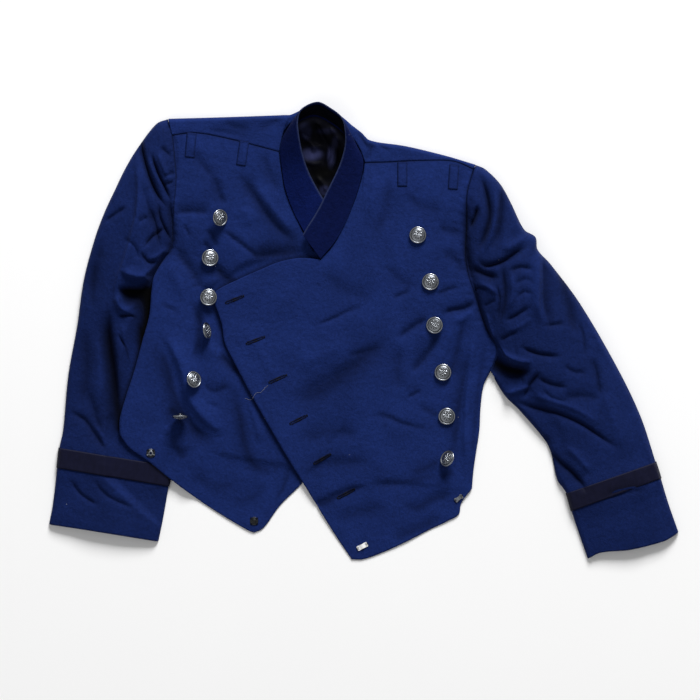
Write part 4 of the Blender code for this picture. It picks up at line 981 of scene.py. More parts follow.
LEFT_SLEEVE_CREASES = (
    # folds round the sleeve head
    Crease(((155, 213), (165, 183), (168, 151), (159, 121), (149, 102)), 3.8, 5, -8.5),
    Crease(((175, 202), (176, 159), (169, 126), (156, 98)), 2.5, 2.9, 4.6),
    Crease(((186, 205), (183, 164), (179, 132), (168, 107)), 6.7, 4.2, -5.5),
    Crease(((153, 171), (148, 152), (140, 136)), 3.4, 3.4, -8.5),
    Crease(((199, 183), (205, 153), (202, 126)), 6.7, 6.7, 2.8),
    # crease under the bulging head
    Crease(((148, 98), (164, 88), (187, 94), (203, 105), (221, 117)), 4.2, 3.4, -8.0),
    Crease(((183, 107), (202, 117), (221, 129)), 6.7, 5, 4.0),
    # crumpled hollow at the underarm
    Crease(((142, 88), (161, 78), (183, 71)), 5, 7.6, -7.0),
    Crease(((151, 64), (167, 59), (180, 48)), 4.2, 4.2, 4.0),
    Crease(((184, 94), (188, 63), (188, 37), (179, 2)), 5.9, 5, -5.0),
    Crease(((198, 80), (198, 48), (192, 24)), 5, 3.4, 4.6),
    # step down the upper arm
    Crease(((234, 115), (234, 76), (233, 36), (241, 7)), 3.4, 14.3, 7.5),
    # shaded side of the step
    Crease(((240, 110), (241, 70), (242, 34), (253, -3)), 13.4, 2.5, -4.2),
    Crease(((191, 79), (210, 86), (232, 82)), 3.4, 4.2, -4.0),
    Crease(((199, 61), (215, 70), (229, 64)), 3.4, 3.4, -2.4),
    Crease(((202, 43), (215, 53), (227, 48)), 3.4, 3.4, -2.6),
    Crease(((142, 48), (153, 59), (169, 56)), 2.5, 3.4, -4.0),
    Crease(((264, -44), (283, -55), (302, -55)), 4.2, 4.2, -2.4),
    Crease(((210, -133), (237, -141), (259, -157)), 6.7, 6.7, -2.6),
    Crease(((237, -76), (253, -90), (277, -95)), 4.2, 5, -2.6),
    Crease(((186, 13), (205, 22), (225, 36)), 3.4, 4.2, -4.6),
    Crease(((191, -1), (210, 7), (227, 20)), 3.4, 3.4, 2.4),
    Crease(((180, -14), (194, -6), (207, 2)), 3.4, 3.4, -3.4),
    Crease(((240, 7), (272, 11)), 2.9, 2.9, -3.0),
    Crease(((207, -20), (234, -30), (267, -34)), 3.4, 5, -5.0),
    Crease(((286, 16), (295, -9), (296, -38)), 3.4, 3.4, -2.6),
    Crease(((306, -33), (313, -60), (318, -92)), 5, 5, -3.6),
    # ridge above the underarm hole
    Crease(((175, -17), (191, -33), (210, -41), (229, -41)), 5.9, 2.9, 6.5),
    # underarm hole, set deeper than the cloth can sink, so most of its darkness is painted shade
    Crease(((164, -28), (180, -44), (202, -53), (226, -53)), 6, 9, -22.0),
    Crease(((183, -86), (205, -80), (229, -72)), 5.9, 5, 5.0),
    Crease(((214, -91), (223, -72), (237, -53)), 3.4, 4.2, -6.0),
    Crease(((229, -60), (250, -71), (276, -76)), 5, 5, -4.2),
    # long crease across the elbow
    Crease(((191, -88), (223, -101), (259, -110),
            (291, -124), (321, -144), (349, -163)), 3.8, 5, -6.0),
    Crease(((210, -83), (248, -92), (288, -107), (323, -128)), 6.7, 5, 2.6),
    # flap above the cuff
    Crease(((246, -155), (264, -176), (279, -188), (292, -203), (299, -219)), 3.4, 7.6, -7.0),
    Crease(((269, -152), (288, -171), (307, -192)), 7.6, 5.9, 3.0),
    # hind-arm seam
    Crease(((362, -111), (372, -136), (381, -163),
            (394, -195), (410, -244), (422, -269)), 1.8, 1.8, 1.2),
    Crease(((259, 94), (273, 43), (283, -9)), 10.9, 8.4, -4.6),
    Crease(((296, 43), (313, -3), (323, -38)), 7.6, 7.6, 2.4),
    Crease(((318, -74), (335, -119), (350, -165)), 12.6, 12.6, 2.4),
    Crease(((264, -92), (291, -87), (323, -92)), 7.6, 7.6, -2.4),
    Crease(((159, 33), (178, 43)), 2.9, 2.9, -3.0),
    Crease(((176, 65), (182, 43), (178, 13)), 2.5, 3.4, -3.0),
    Crease(((164, 29), (169, 5), (178, -17)), 3.4, 3.4, 3.0),
    Crease(((318, -227), (353, -217), (385, -214)), 6.7, 6.7, -1.8),
)
RIGHT_SLEEVE_CREASES = (
    # deep fold round the sleeve head
    Crease(((-295, 275), (-300, 253), (-295, 226),
            (-286, 199), (-275, 178), (-263, 163)), 3.4, 4.2, -9.5),
    Crease(((-291, 236), (-283, 213), (-269, 187)), 2.2, 2.2, 3.0),
    # second fold beside it
    Crease(((-288, 242), (-279, 214), (-268, 191), (-260, 173)), 2.9, 2.9, -8.0),
    Crease(((-280, 245), (-271, 221), (-261, 199)), 4.2, 3.4, 3.0),
    Crease(((-277, 175), (-276, 155), (-268, 136), (-259, 118)), 3.4, 3.4, -5.0),
    Crease(((-303, 205), (-292, 169), (-287, 134)), 6.7, 6.7, -3.4),
    # step down the sleeve, its inner side higher
    Crease(((-308, 245), (-304, 198), (-306, 159), (-313, 129),
            (-323, 94), (-333, 67), (-337, 26)), 13.4, 4.2, 8.0),
    Crease(((-353, 145), (-337, 157), (-318, 169)), 3.4, 3.4, -3.6),
    Crease(((-298, 111), (-287, 126), (-267, 141)), 3.4, 3.4, -5.0),
    Crease(((-306, 145), (-291, 155)), 4.2, 3.4, -3.2),
    Crease(((-295, 94), (-279, 102), (-263, 115)), 5, 4.2, 3.2),
    Crease(((-271, 207), (-253, 217)), 3.4, 3.4, -2.8),
    Crease(((-273, 196), (-256, 202)), 3.4, 3.4, -2.4),
    Crease(((-276, 249), (-259, 234)), 4.2, 4.2, -2.8),
    # bulge above the underarm pit
    Crease(((-330, 83), (-311, 74), (-292, 74), (-279, 83)), 12.6, 2.5, 8.0),
    # underarm pit, set deeper than the cloth can sink, so most of its darkness is painted shade
    Crease(((-335, 57), (-314, 55), (-295, 55), (-268, 57)), 4, 15, -26.0),
    Crease(((-294, 72), (-292, 26), (-295, -3), (-303, -33)), 11, 9, -26.0),
    # knot of cloth below the pit
    Crease(((-330, 53), (-331, 37), (-321, 28), (-308, 34)), 5, 5.9, 7.0),
    Crease(((-334, 20), (-319, 22), (-304, 18)), 2.5, 4.2, -5.0),
    # deep trough down the forearm
    Crease(((-344, 37), (-344, -5), (-338, -52), (-333, -99), (-327, -155)), 6, 13, -15.0),
    Crease(((-329, 13), (-315, -25), (-317, -84)), 6.7, 5.9, 5.5),
    Crease(((-308, 18), (-296, -20), (-303, -71)), 6.7, 5, -12.0),
    Crease(((-403, -107), (-379, -118), (-364, -138), (-344, -167)), 5, 5.9, -4.0),
    Crease(((-365, -122), (-352, -144), (-340, -163)), 3.4, 3.4, 2.0),
    Crease(((-399, -195), (-383, -219), (-354, -237)), 3.4, 3.4, -3.0),
    Crease(((-368, -196), (-348, -221), (-306, -241)), 4.2, 3.4, -2.6),
    Crease(((-360, -192), (-335, -211), (-303, -226)), 4.2, 4.2, 0.8),
    Crease(((-292, -213), (-267, -210)), 2.5, 2.5, -1.6),
    Crease(((-379, 16), (-375, -59), (-387, -109)), 11.8, 13.4, -3.8),
    Crease(((-360, 2), (-356, -65), (-360, -109)), 6.7, 7.6, 2.4),
    Crease(((-376, -71), (-362, -114), (-352, -146)), 8.4, 8.4, -3.0),
    Crease(((-307, -203), (-307, -260)), 1.4, 1.4, -0.8),
    Crease(((-352, 124), (-362, 83), (-368, 43)), 10.1, 10.1, -2.6),
    Crease(((-325, 245), (-335, 205), (-344, 169)), 8.4, 10.1, 1.8),
    Crease(((-290, 169), (-281, 142), (-276, 110)), 4.2, 4.2, -4.0),
    Crease(((-302, 107), (-292, 94), (-276, 94)), 4.2, 4.2, -4.4),
    Crease(((-326, 126), (-311, 115), (-303, 94)), 5, 5, -3.0),
    Crease(((-362, 99), (-368, 56), (-365, 26)), 6.7, 6.7, -2.4),
    Crease(((-333, -1), (-321, -25), (-315, -55)), 2.5, 2.5, -5.0),
)

Crown = namedtuple("Crown", "share height")
LEFT_CROWN = (Crown(0, 2.5), Crown(0.2, 4), Crown(0.5, 6), Crown(0.8, 9), Crown(1, 0))
RIGHT_CROWN = (Crown(0, 2.5), Crown(0.2, 4), Crown(0.5, 5), Crown(0.8, 8), Crown(1, 0))

Sleeve = namedtuple("Sleeve", "side hem top left right crown creases size braid")
RIGHT_TOP = joined((RIGHT_BACK_ARMHOLE, 0.14), (reversed_edge(RIGHT_ARMHOLE), 1.0))
LEFT_TOP = joined((LEFT_ARMHOLE, 0.976), (LEFT_BACK_ARMHOLE, 1.0))
SLEEVES = (
    Sleeve("left", LEFT_CUFF_HEM, LEFT_TOP, LEFT_INNER, LEFT_OUTER, LEFT_CROWN,
           LEFT_SLEEVE_CREASES, (180, 480), (276, 25)),
    Sleeve("right", RIGHT_CUFF_HEM, RIGHT_TOP, RIGHT_OUTER, RIGHT_INNER, RIGHT_CROWN,
           RIGHT_SLEEVE_CREASES, (170, 520), (345, 26)),
)
BRAID_LOW = 0.15          # shares of a sleeve's length between which its braid is sewn
BRAID_HIGH = 0.20
BRAID_LIFT = 1.7
BRAID_RAMP = 0.05
SLEEVE_PRESSED = 3.4
UNDER_SLEEVE_INSET = 9.0
ARMHOLE_CLEARANCE = 14
SLEEVE_LENGTH = 480
SLEEVE_HEAD = 190         # from side to side over a sleeve's head
SLEEVE_CELL = 1.8
UNDER_CELL = 6
CROWN_LEAN = 1.7          # over 1 puts the highest part of a sleeve nearer to its left seam
SLEEVE_PAINTED_SHADE = 0.71       # painted shade: the sleeves' cloth is drawn darker than the fronts'


def braid_lift(t):
    rise = smooth((t - BRAID_LOW) / BRAID_RAMP + 1)
    fall = smooth((BRAID_HIGH - t) / BRAID_RAMP + 1)
    return BRAID_LIFT * np.minimum(rise, fall)


def pressed_by_body(x, y):
    """The highest that the right sleeve may lie, where the body is on top of it."""
    outside = x_on(RIGHT_SIDE, y) - x + np.clip(y - SLEEVE_TUCK_TOP, 0, None) * 2
    below_hem = np.clip(RIGHT_HEM[0].y - 60 - y, 0, None)
    run = np.interp(y, (52, 70), (50, 16))
    return SLEEVE_PRESSED + 30 * smooth((outside - 2 + below_hem) / run)


def top_sleeve_surface(sleeve, s, t):
    points = patch(sleeve.hem, sleeve.top, sleeve.left, sleeve.right, s, t)
    x, y = points[:, 0], points[:, 1]
    height = np.interp(t, [row.share for row in sleeve.crown],
                       [row.height for row in sleeve.crown])
    width = plan_width(sleeve.left, sleeve.right, t)
    from_seam = (1 - t) * sleeve.size[1]
    from_side = np.minimum(s, 1 - s) * width
    leaning = s ** CROWN_LEAN
    creased = smooth(from_seam / 8) * crease_height(sleeve.creases, x, y)
    creased += crease_height(SEAM_CREASES, x, y)
    points[:, 2] += height * (4 * leaning * (1 - leaning)) ** 0.7 + creased
    points[:, 2] += smooth(np.minimum(from_seam, from_side) / 14) * lie_of_the_cloth(x, y)
    points[:, 2] += pucker(s * SLEEVE_HEAD, from_seam, 8.5, 0.55) * smooth(from_seam / 3)
    if sleeve.side == "right":
        points[:, 2] = at_most(points[:, 2], pressed_by_body(x, y), 0.6)
    points[:, 2] = at_least(points[:, 2], BACK_LEVEL + 2.6, 0.8)
    points[:, 2] += braid_lift(t) + rolled_edge(from_seam)
    points[:, 2] += rolled_edge(t * sleeve.size[1], 0.7)
    from_outer_seam = s if sleeve.side == "right" else 1 - s
    distance = from_side + SIDE_FADE * np.clip(t - 0.95, 0, 1) * smooth(from_outer_seam / 0.4)
    # Painted shade: the sleeves drawn darker than the fronts, and darker in creases and beside the
    # seam.
    worn = SLEEVE_PAINTED_SHADE * painted_crease_light_and_shade(creased) * painted_seam_shade(from_seam)
    # Painted shadow of the body's edge on the right sleeve, where the sleeve slides under it.
    if sleeve.side == "right":
        below = smooth((SLEEVE_TUCK_TOP - y) / 12) * smooth((y - RIGHT_HEM[0].y) / 8)
        outside = np.maximum(x_on(RIGHT_SIDE, y) - x, 0)
        worn *= 1 - 0.7 * below * np.exp(-(outside / 5) ** 2)
    points = turn_down(points, distance, 0.55 + braid_lift(t))
    return np.column_stack([points, worn])


def under_sleeve_surface(sleeve, s, t):
    width = plan_width(sleeve.left, sleeve.right, t)
    inset = UNDER_SLEEVE_INSET / width
    points = patch(sleeve.hem, sleeve.top, sleeve.left, sleeve.right,
                   inset + s * (1 - 2 * inset),
                   t * (1 - ARMHOLE_CLEARANCE / SLEEVE_LENGTH))
    points[:, 2] = BACK_LEVEL + braid_lift(t)
    return points


for sleeve in SLEEVES:
    top_rows = [min(q, 1 - SEAM_INSET / SLEEVE_LENGTH) for q in
                stations(sleeve.size[1], SLEEVE_CELL, (BRAID_LOW, BRAID_HIGH))]
    top = cloth(f"{sleeve.side}_sleeve_top", lambda s, t: top_sleeve_surface(sleeve, s, t),
                sleeve.size, stations(sleeve.size[0], SLEEVE_CELL), top_rows, NAVY)
    sewn_in(top, f"{sleeve.side}_top_sleeve")
    under = cloth(f"{sleeve.side}_sleeve_under",
                  lambda s, t: under_sleeve_surface(sleeve, s, t), sleeve.size,
                  stations(sleeve.size[0] - 2 * UNDER_SLEEVE_INSET, UNDER_CELL),
                  stations(sleeve.size[1], UNDER_CELL), NAVY)
    sewn_in(under, f"{sleeve.side}_under_sleeve")

# ---- cuff braid ----
# A flat band of black mohair braid sewn round each cuff, a hand's breadth above its end. It
# is woven in fine ribs along its length.

BRAID_WALL = 0.7


def braid_material():
    made, nodes, shader = new_material("black mohair braid")
    plan = nodes.add("ShaderNodeUVMap", {"uv_map": "cloth"}).outputs["UV"]
    parts = nodes.add("ShaderNodeSeparateXYZ", Vector=plan)
    fold = nodes.math("PINGPONG", nodes.math("MULTIPLY", parts.outputs["Y"], 240.0), 1.0)
    ribs = nodes.math("SINE", nodes.math("MULTIPLY_ADD", fold, 3.2,
                                         nodes.math("MULTIPLY", parts.outputs["X"], 3600.0)))
    ribs = nodes.math("MULTIPLY_ADD", ribs, 0.5, 0.5)
    wear = nodes.add("ShaderNodeTexNoise", Vector=plan, Scale=90.0, Detail=4.0)
    value = nodes.math("MULTIPLY_ADD", ribs, 0.35, nodes.math("MULTIPLY", wear.outputs["Fac"], 0.9))
    tint = nodes.mix(value, (0.0012, 0.0013, 0.0075, 1), (0.0056, 0.0064, 0.026, 1))
    height = nodes.math("MULTIPLY_ADD", ribs, 0.7, nodes.math("MULTIPLY", fold, 0.3))
    raised = nodes.add("ShaderNodeBump", Strength=0.5, Distance=0.0004, Height=height)
    nodes.feed_all(shader, Base_Color=tint, Roughness=nodes.math("MULTIPLY_ADD", ribs, -0.15, 0.65),
                   Normal=raised.outputs["Normal"], Sheen_Weight=0.02, Specular_IOR_Level=0.1)
    return made


BRAID = braid_material()
BRAID_TOP_CELLS = 90
BRAID_BELOW_CELLS = 30


def braid_surface(sleeve, around, t):
    """A band all round the cuff: over the top sleeve, down its sides and flat beneath."""
    off = HALF + 0.45 + BRAID_WALL / 2
    shares = np.array(stations(sleeve.size[0], sleeve.size[0] / BRAID_TOP_CELLS))
    points = np.zeros((len(around), 3))
    for row in np.unique(t):
        section = top_sleeve_surface(sleeve, shares, np.full(len(shares), row))
        start, end = section[0, :2], section[-1, :2]
        width = np.hypot(*(end - start))
        along = (end - start) / width
        reach = (section[:, :2] - start) @ along
        outline = np.column_stack([reach, section[:, 2]])
        step = np.gradient(outline, axis=0)
        normal = np.column_stack([-step[:, 1], step[:, 0]])
        normal /= np.hypot(normal[:, 0], normal[:, 1])[:, None]
        normal[0], normal[-1] = (-1, 0), (1, 0)
        outline = outline + off * normal
        outline[1:-1, 1] = np.maximum(outline[1:-1, 1], section[1:-1, 2] + off * 0.2)
        below = np.column_stack([spread(width + off, -off, even(BRAID_BELOW_CELLS)),
                                 np.full(BRAID_BELOW_CELLS + 1, BRAID_WALL / 2)])
        ring = np.vstack([outline, below, outline[:1]])
        chosen = np.isclose(t, row)
        at = around[chosen] * (len(ring) - 1)
        reach_at = np.interp(at, range(len(ring)), ring[:, 0])
        points[chosen, :2] = start + reach_at[:, None] * along
        points[chosen, 2] = np.interp(at, range(len(ring)), ring[:, 1])
    return points


for sleeve in SLEEVES:
    ring_cells = len(stations(sleeve.size[0], sleeve.size[0] / BRAID_TOP_CELLS)) \
        + BRAID_BELOW_CELLS + 1
    band = cloth(f"{sleeve.side}_cuff_band", lambda s, t: braid_surface(sleeve, s, t),
                 (2 * sleeve.size[0], 25), even(ring_cells),
                 spread(BRAID_LOW, BRAID_HIGH, even(12)), BRAID, wall=BRAID_WALL, closed=True)
    sewn_in(band, f"{sleeve.side}_cuff_braid")

# ---- collar ----
# A standing collar of darker navy worsted over stiff canvas, sewn to the neck seam and open
# at the front, with its left end lying over its right. Its top edge is turned over and worn
# lighter.

Band = namedtuple("Band", "share seam_x seam_y seam_z edge_x edge_y edge_z")
COLLAR = (
    Band(0.00, -68.5, 113.5, 8.5, -36, 142, 10.8),
    Band(0.06, -80.5, 133, 9, -46, 163, 13),
    Band(0.13, -94.8, 160.3, 10, -61, 187, 19),
    Band(0.21, -105.8, 190.5, 12, -75, 213, 27),
    Band(0.28, -110.8, 218, 13, -83, 236, 33),
    Band(0.34, -113, 245.5, 14, -88, 261, 38),
    Band(0.39, -107, 267, 13, -90, 283, 40),
    Band(0.45, -90, 282, 11, -84, 299, 41),
    Band(0.52, -66, 290, 9, -63, 308, 41),
    Band(0.58, -44, 280, 11, -45, 299, 41),
    Band(0.64, -24.5, 264.5, 13, -31, 287, 40),
    Band(0.70, -9, 245.5, 15, -26, 271, 36),
    Band(0.76, -2.2, 226.5, 16, -26, 249, 31),
    Band(0.82, -6.5, 200, 15.5, -34, 222, 26),
    Band(0.88, -15.5, 172, 15, -49, 191, 22),
    Band(0.93, -27, 144, 15, -63, 163, 19),
    Band(0.97, -41.5, 119, 14.8, -76, 142, 17.5),
    Band(1.00, -59.5, 98, 14.5, -83, 130, 16.5),
)


def collar_cloth():
    """The collar's own worsted: darker, with a light line of wear along its top edge."""
    made = worsted("dark navy worsted", (0.0016, 0.0050, 0.042), 0.012, 0.3, 0.3)
    nodes = Nodes(made.node_tree)
    shader = made.node_tree.nodes["Principled BSDF"]
    shade = shader.inputs["Base Color"].links[0].from_socket
    plan = nodes.add("ShaderNodeUVMap", {"uv_map": "cloth"}).outputs["UV"]
    parts = nodes.add("ShaderNodeSeparateXYZ", Vector=plan)
    rub = nodes.add("ShaderNodeTexNoise", Vector=plan, Scale=240.0, Detail=3.0)
    edge = nodes.math("MULTIPLY_ADD", rub.outputs["Fac"], 0.0012, parts.outputs["Y"])
    worn = nodes.add("ShaderNodeMapRange", {"interpolation_type": "SMOOTHSTEP"}, Value=edge)
    for name, value in (("From Min", 0.0402), ("From Max", 0.0418)):
        worn.inputs[name].default_value = value
    nodes.feed(shader.inputs["Base Color"],
               nodes.mix(worn.outputs["Result"], shade, (0.018, 0.026, 0.075, 1)))
    return made


DARK_NAVY = collar_cloth()
COLLAR_HEIGHT = 42


def collar_rows(column):
    """One column of the collar's table as the rows of a smooth edge."""
    return [Edge(row.share, *row[column:column + 3]) for row in COLLAR]


COLLAR_SEAM = collar_rows(1)
COLLAR_EDGE = collar_rows(4)


def collar_surface(s, t, inward=0.0):
    """s runs round the neck and t from the neck seam to the collar's top edge."""

    def place(at, up):
        seam, edge = edge_curve(COLLAR_SEAM, at), edge_curve(COLLAR_EDGE, at)
        return seam + (edge - seam) * up[:, None]

    points = place(s, t)
    step = 0.02
    round_neck = place(np.clip(s + step, 0, 1), t) - place(np.clip(s - step, 0, 1), t)
    upward = place(s, t + step) - place(s, t - step)
    normal = np.cross(round_neck, upward)
    normal /= np.linalg.norm(normal, axis=1)[:, None]
    bow = -1.2 * np.sin(np.pi * np.clip(t, 0, 1)) + 0.3 * np.sin(23 * s + 3 * t)
    turned = rolled_edge((1 - t) * COLLAR_HEIGHT, -0.9, 3.0)
    return points + (inward + bow + turned)[:, None] * normal


def collar_surface_painted_light(s, t):
    """The collar, with painted light that makes its right end paler than the rest."""
    return np.column_stack([collar_surface(s, t), 1 + 0.75 * smooth((0.4 - s) / 0.2)])


collar = cloth("standing_collar", collar_surface_painted_light, (430, COLLAR_HEIGHT),
               stations(430, 2.4), stations(COLLAR_HEIGHT, 1.6), DARK_NAVY)
sewn_in(collar, "collar")

# ---- linings ----
# Black satin inside the collar, and the back's satin lining that shows down the neck. It is
# loose, so it lies in soft wrinkles.

LINING_WALL = 1.0
NECK_LINING_HEM = (Edge(0, -112, 90, 2.8), Edge(1, -10, 90, 2.8))
NECK_LINING_TOP = (
    Edge(0.00, -104, 272, 2.8),
    Edge(0.22, -88, 286, 2.8),
    Edge(0.45, -64, 296, 3.0),
    Edge(0.75, -34, 285, 2.8),
    Edge(1.00, -12, 265, 2.8),
)
NECK_LINING_RIGHT = (Edge(0, -112, 90, 2.8), Edge(0.5, -116, 180, 2.8), Edge(1, -104, 272, 2.8))
NECK_LINING_LEFT = (Edge(0, -10, 90, 2.8), Edge(0.5, -2, 180, 2.8), Edge(1, -12, 265, 2.8))
LINING_CREASES = (
    Crease(((-92, 272), (-76, 258), (-62, 240)), 3, 4, 4.6),
    Crease(((-66, 284), (-58, 266), (-48, 250)), 3, 4, 4.4),
    Crease(((-48, 280), (-40, 262), (-32, 246)), 3, 3, 3.8),
    Crease(((-76, 246), (-60, 249), (-46, 244)), 4, 4, 2.6),
    Crease(((-50, 258), (-48, 238), (-54, 224)), 2.5, 3, 4.5),
    Crease(((-38, 250), (-39, 232), (-45, 218)), 2.5, 3, 3.6),
    Crease(((-84, 230), (-70, 226), (-56, 228)), 3, 4, 3.0),
    Crease(((-66, 208), (-56, 200), (-50, 186)), 3, 4, 3.4),
)

# Painted highlights where the wrinkled satin catches the light, and painted shade where it lies
# deep in the dark.
Patch = namedtuple("Patch", "x y wide high gain")
PAINTED_SATIN_LIGHT = (
    Patch(-72, 239, 14, 8, 26.0),
    Patch(-45, 236, 5, 14, 15.0),
    Patch(-80, 270, 8, 11, 14.0),
    Patch(-52, 270, 13, 4, 5.0),
    Patch(-40, 254, 4, 9, 7.0),
    Patch(-54, 190, 7, 6, 15.0),
    Patch(-57, 214, 20, 11, -0.9),
)


def satin(name, dark, light):
    """Black satin: a smooth gloss that streaks along its weave, with painted highlights and shade
    carried by its mesh.
    """
    made, nodes, shader = new_material(name)
    plan = nodes.add("ShaderNodeUVMap", {"uv_map": "cloth"}).outputs["UV"]
    streak = nodes.add("ShaderNodeMapping", Vector=plan)
    streak.inputs["Scale"].default_value = (40, 900, 1)
    grain = nodes.add("ShaderNodeTexNoise", Vector=streak.outputs["Vector"], Scale=1.0, Detail=3.0)
    rub = nodes.add("ShaderNodeTexNoise", Vector=plan, Scale=45.0, Detail=4.0, Roughness=0.65)
    worn = nodes.add("ShaderNodeAttribute", {"attribute_name": "worn"}).outputs["Fac"]
    # Painted highlights and shade from the mesh, multiplied into the satin's colour.
    pale = nodes.add("ShaderNodeCombineColor", Red=worn, Green=worn, Blue=worn).outputs["Color"]
    tint = nodes.mix(1.0, nodes.mix(rub.outputs["Fac"], dark, light), pale, "MULTIPLY")
    rough = nodes.math("MULTIPLY_ADD", grain.outputs["Fac"], 0.2, 0.5)
    raised = nodes.add("ShaderNodeBump", Strength=0.25, Distance=0.0003,
                       Height=grain.outputs["Fac"])
    nodes.feed_all(shader, Base_Color=tint, Roughness=rough, Normal=raised.outputs["Normal"],
                   Specular_IOR_Level=0.05)
    return made


SATIN = satin("black satin", (0.0003, 0.0004, 0.0013, 1), (0.0024, 0.0027, 0.0075, 1))
LINING_INWARD = HALF + 0.7 + LINING_WALL / 2


def collar_lining_surface(s, t):
    wrinkles = (0.35 * np.sin(58 * s + 9 * t) + 0.25 * np.sin(113 * s - 14 * t + 1.0)
                + 0.2 * np.sin(31 * t + 12 * s))
    points = collar_surface(s, t, LINING_INWARD)
    towards = collar_surface(s, t, LINING_INWARD + 1) - points
    return points + (0.5 + wrinkles * smooth(np.minimum(s, 1 - s) / 0.03))[:, None] * towards


collar_lining = cloth("collar_satin", collar_lining_surface, (400, 36),
                      spread(0.045, 0.955, stations(400, 2.6)),
                      spread(0.2, 0.82, stations(26, 1.6)), SATIN, wall=LINING_WALL)
sewn_in(collar_lining, "collar_lining")


def neck_lining_surface(s, t):
    points = patch(NECK_LINING_HEM, NECK_LINING_TOP, NECK_LINING_RIGHT, NECK_LINING_LEFT, s, t)
    x, y = points[:, 0], points[:, 1]
    loose = smooth(np.minimum(s, 1 - s) / 0.15) * smooth((t - 0.3) / 0.2) * smooth((1 - t) / 0.1)
    points[:, 2] += loose * (crease_height(LINING_CREASES, x, y)
                             + 0.5 * np.sin(0.21 * x + 0.3 * y) * np.sin(0.33 * x - 0.12 * y))
    points[:, 2] = at_least(points[:, 2], 2.7, 0.2)
    # Painted highlights where the wrinkled satin catches the light, and painted shade in its
    # darkest hollow.
    worn = 1 + sum(area.gain * np.exp(-(((x - area.x) / area.wide) ** 2
                                        + ((y - area.y) / area.high) ** 2) ** 2)
                   for area in PAINTED_SATIN_LIGHT)
    return np.column_stack([points, worn])


neck_lining = cloth("neck_satin", neck_lining_surface, (115, 185), stations(115, 1.8),
                    stations(185, 1.8), SATIN, wall=LINING_WALL)
sewn_in(neck_lining, "neck_lining")

# ---- epaulet loops ----
# Four flat loops of the same worsted that hold the shoulder boards. Each is a narrow folded
# band, sewn down at both ends across the shoulder and a little proud in its middle.

LOOP_WALL = 1.0
LOOP_WIDTH = 13.0
LOOP_LENGTH = 33.0
SEAM_SPAN = 1.6

Loop = namedtuple("Loop", "name x y turn")          # middle of the loop, and its turn in degrees
LOOPS = (
    Loop("right_outer", -234, 251, -5),
    Loop("right_inner", -164, 240, -8),
    Loop("left_inner", 51, 212, 0),
    Loop("left_outer", 120, 208, -4),
)


def cloth_tree(*pieces):
    """The faces of finished cloth pieces, to lay other pieces on, in millimetres."""
    bpy.context.view_layer.update()
    graph = bpy.context.evaluated_depsgraph_get()
    corners, faces = [], []
    for piece in pieces:
        mesh = piece.evaluated_get(graph).to_mesh()
        start = len(corners)
        corners += [vertex.co / MM for vertex in mesh.vertices]
        faces += [[start + i for i in face.vertices] for face in mesh.polygons]
    return BVHTree.FromPolygons(corners, faces)


def ground_below(tree, x, y):
    """Height of the cloth under x, y, and its slope there."""
    hits = [tree.ray_cast(Vector((x, y + shift, 200)), Vector((0, 0, -1)))
            for shift in (0, -SEAM_SPAN, SEAM_SPAN)]
    point, normal, _, _ = max((hit for hit in hits if hit[0]), key=lambda hit: hit[0].z)
    return point.z, normal


SHOULDERS = cloth_tree(left_front, right_front, back)
LEFT_FRONT = cloth_tree(left_front)
FRONTS = cloth_tree(left_front, right_front)


def loop_surface(loop, s, t):
    """The loop's cloth: rolled at its long edges, and pulled down at both ends."""
    turn = math.radians(loop.turn)
    right = (s - 0.5) * LOOP_WIDTH
    up = (t - 0.5) * LOOP_LENGTH
    x = loop.x + right * math.cos(turn) - up * math.sin(turn)
    y = loop.y + right * math.sin(turn) + up * math.cos(turn)
    ground = np.array([ground_below(SHOULDERS, *spot)[0] for spot in zip(x, y)])
    raised = LOOP_WALL / 2 + 0.25 + 0.4 * np.sin(np.pi * t) ** 0.7
    edge = rolled_edge(np.minimum(s, 1 - s) * LOOP_WIDTH, 0.6, 1.6)
    end = rolled_edge(np.minimum(t, 1 - t) * LOOP_LENGTH, 0.5, 1.4)
    groove = -0.35 * np.exp(-((np.minimum(t, 1 - t) * LOOP_LENGTH - 3.0) / 0.6) ** 2)
    outline = np.minimum(np.minimum(s, 1 - s) * LOOP_WIDTH, np.minimum(t, 1 - t) * LOOP_LENGTH)
    # The fourth value is painted shade round the loop's outline, on cloth a little darker overall.
    return np.column_stack([x, y, ground + raised + edge + end + groove,
                            0.95 * painted_seam_shade(outline)])


for loop in LOOPS:
    band = cloth(f"epaulet_band_{loop.name}",
                 lambda s, t: loop_surface(loop, s, t), (LOOP_WIDTH, LOOP_LENGTH),
                 stations(LOOP_WIDTH, 1.1)[::2], stations(LOOP_LENGTH, 1.1), NAVY,
                 wall=LOOP_WALL)
    sewn_in(band, f"epaulet_loop_{loop.name}")

# ---- buttonholes ----
# Six keyhole buttonholes in the left front, cut through and worked over in black silk: close
# stitches round the slit, a round eye at the end near the edge, and a bar at the other.

Hole = namedtuple("Hole", "x y turn")
HOLES = (
    Hole(-175, 43, 22),
    Hole(-147, -12, 21),
    Hole(-117, -64, 24),
    Hole(-89, -119, 27),
    Hole(-57, -172, 30),
    Hole(-25, -219, 28),
)
HOLE_LENGTH = 24.0
HOLE_STITCHES = 58
STITCH_REACH = 1.9
STITCH_RADIUS = 0.42


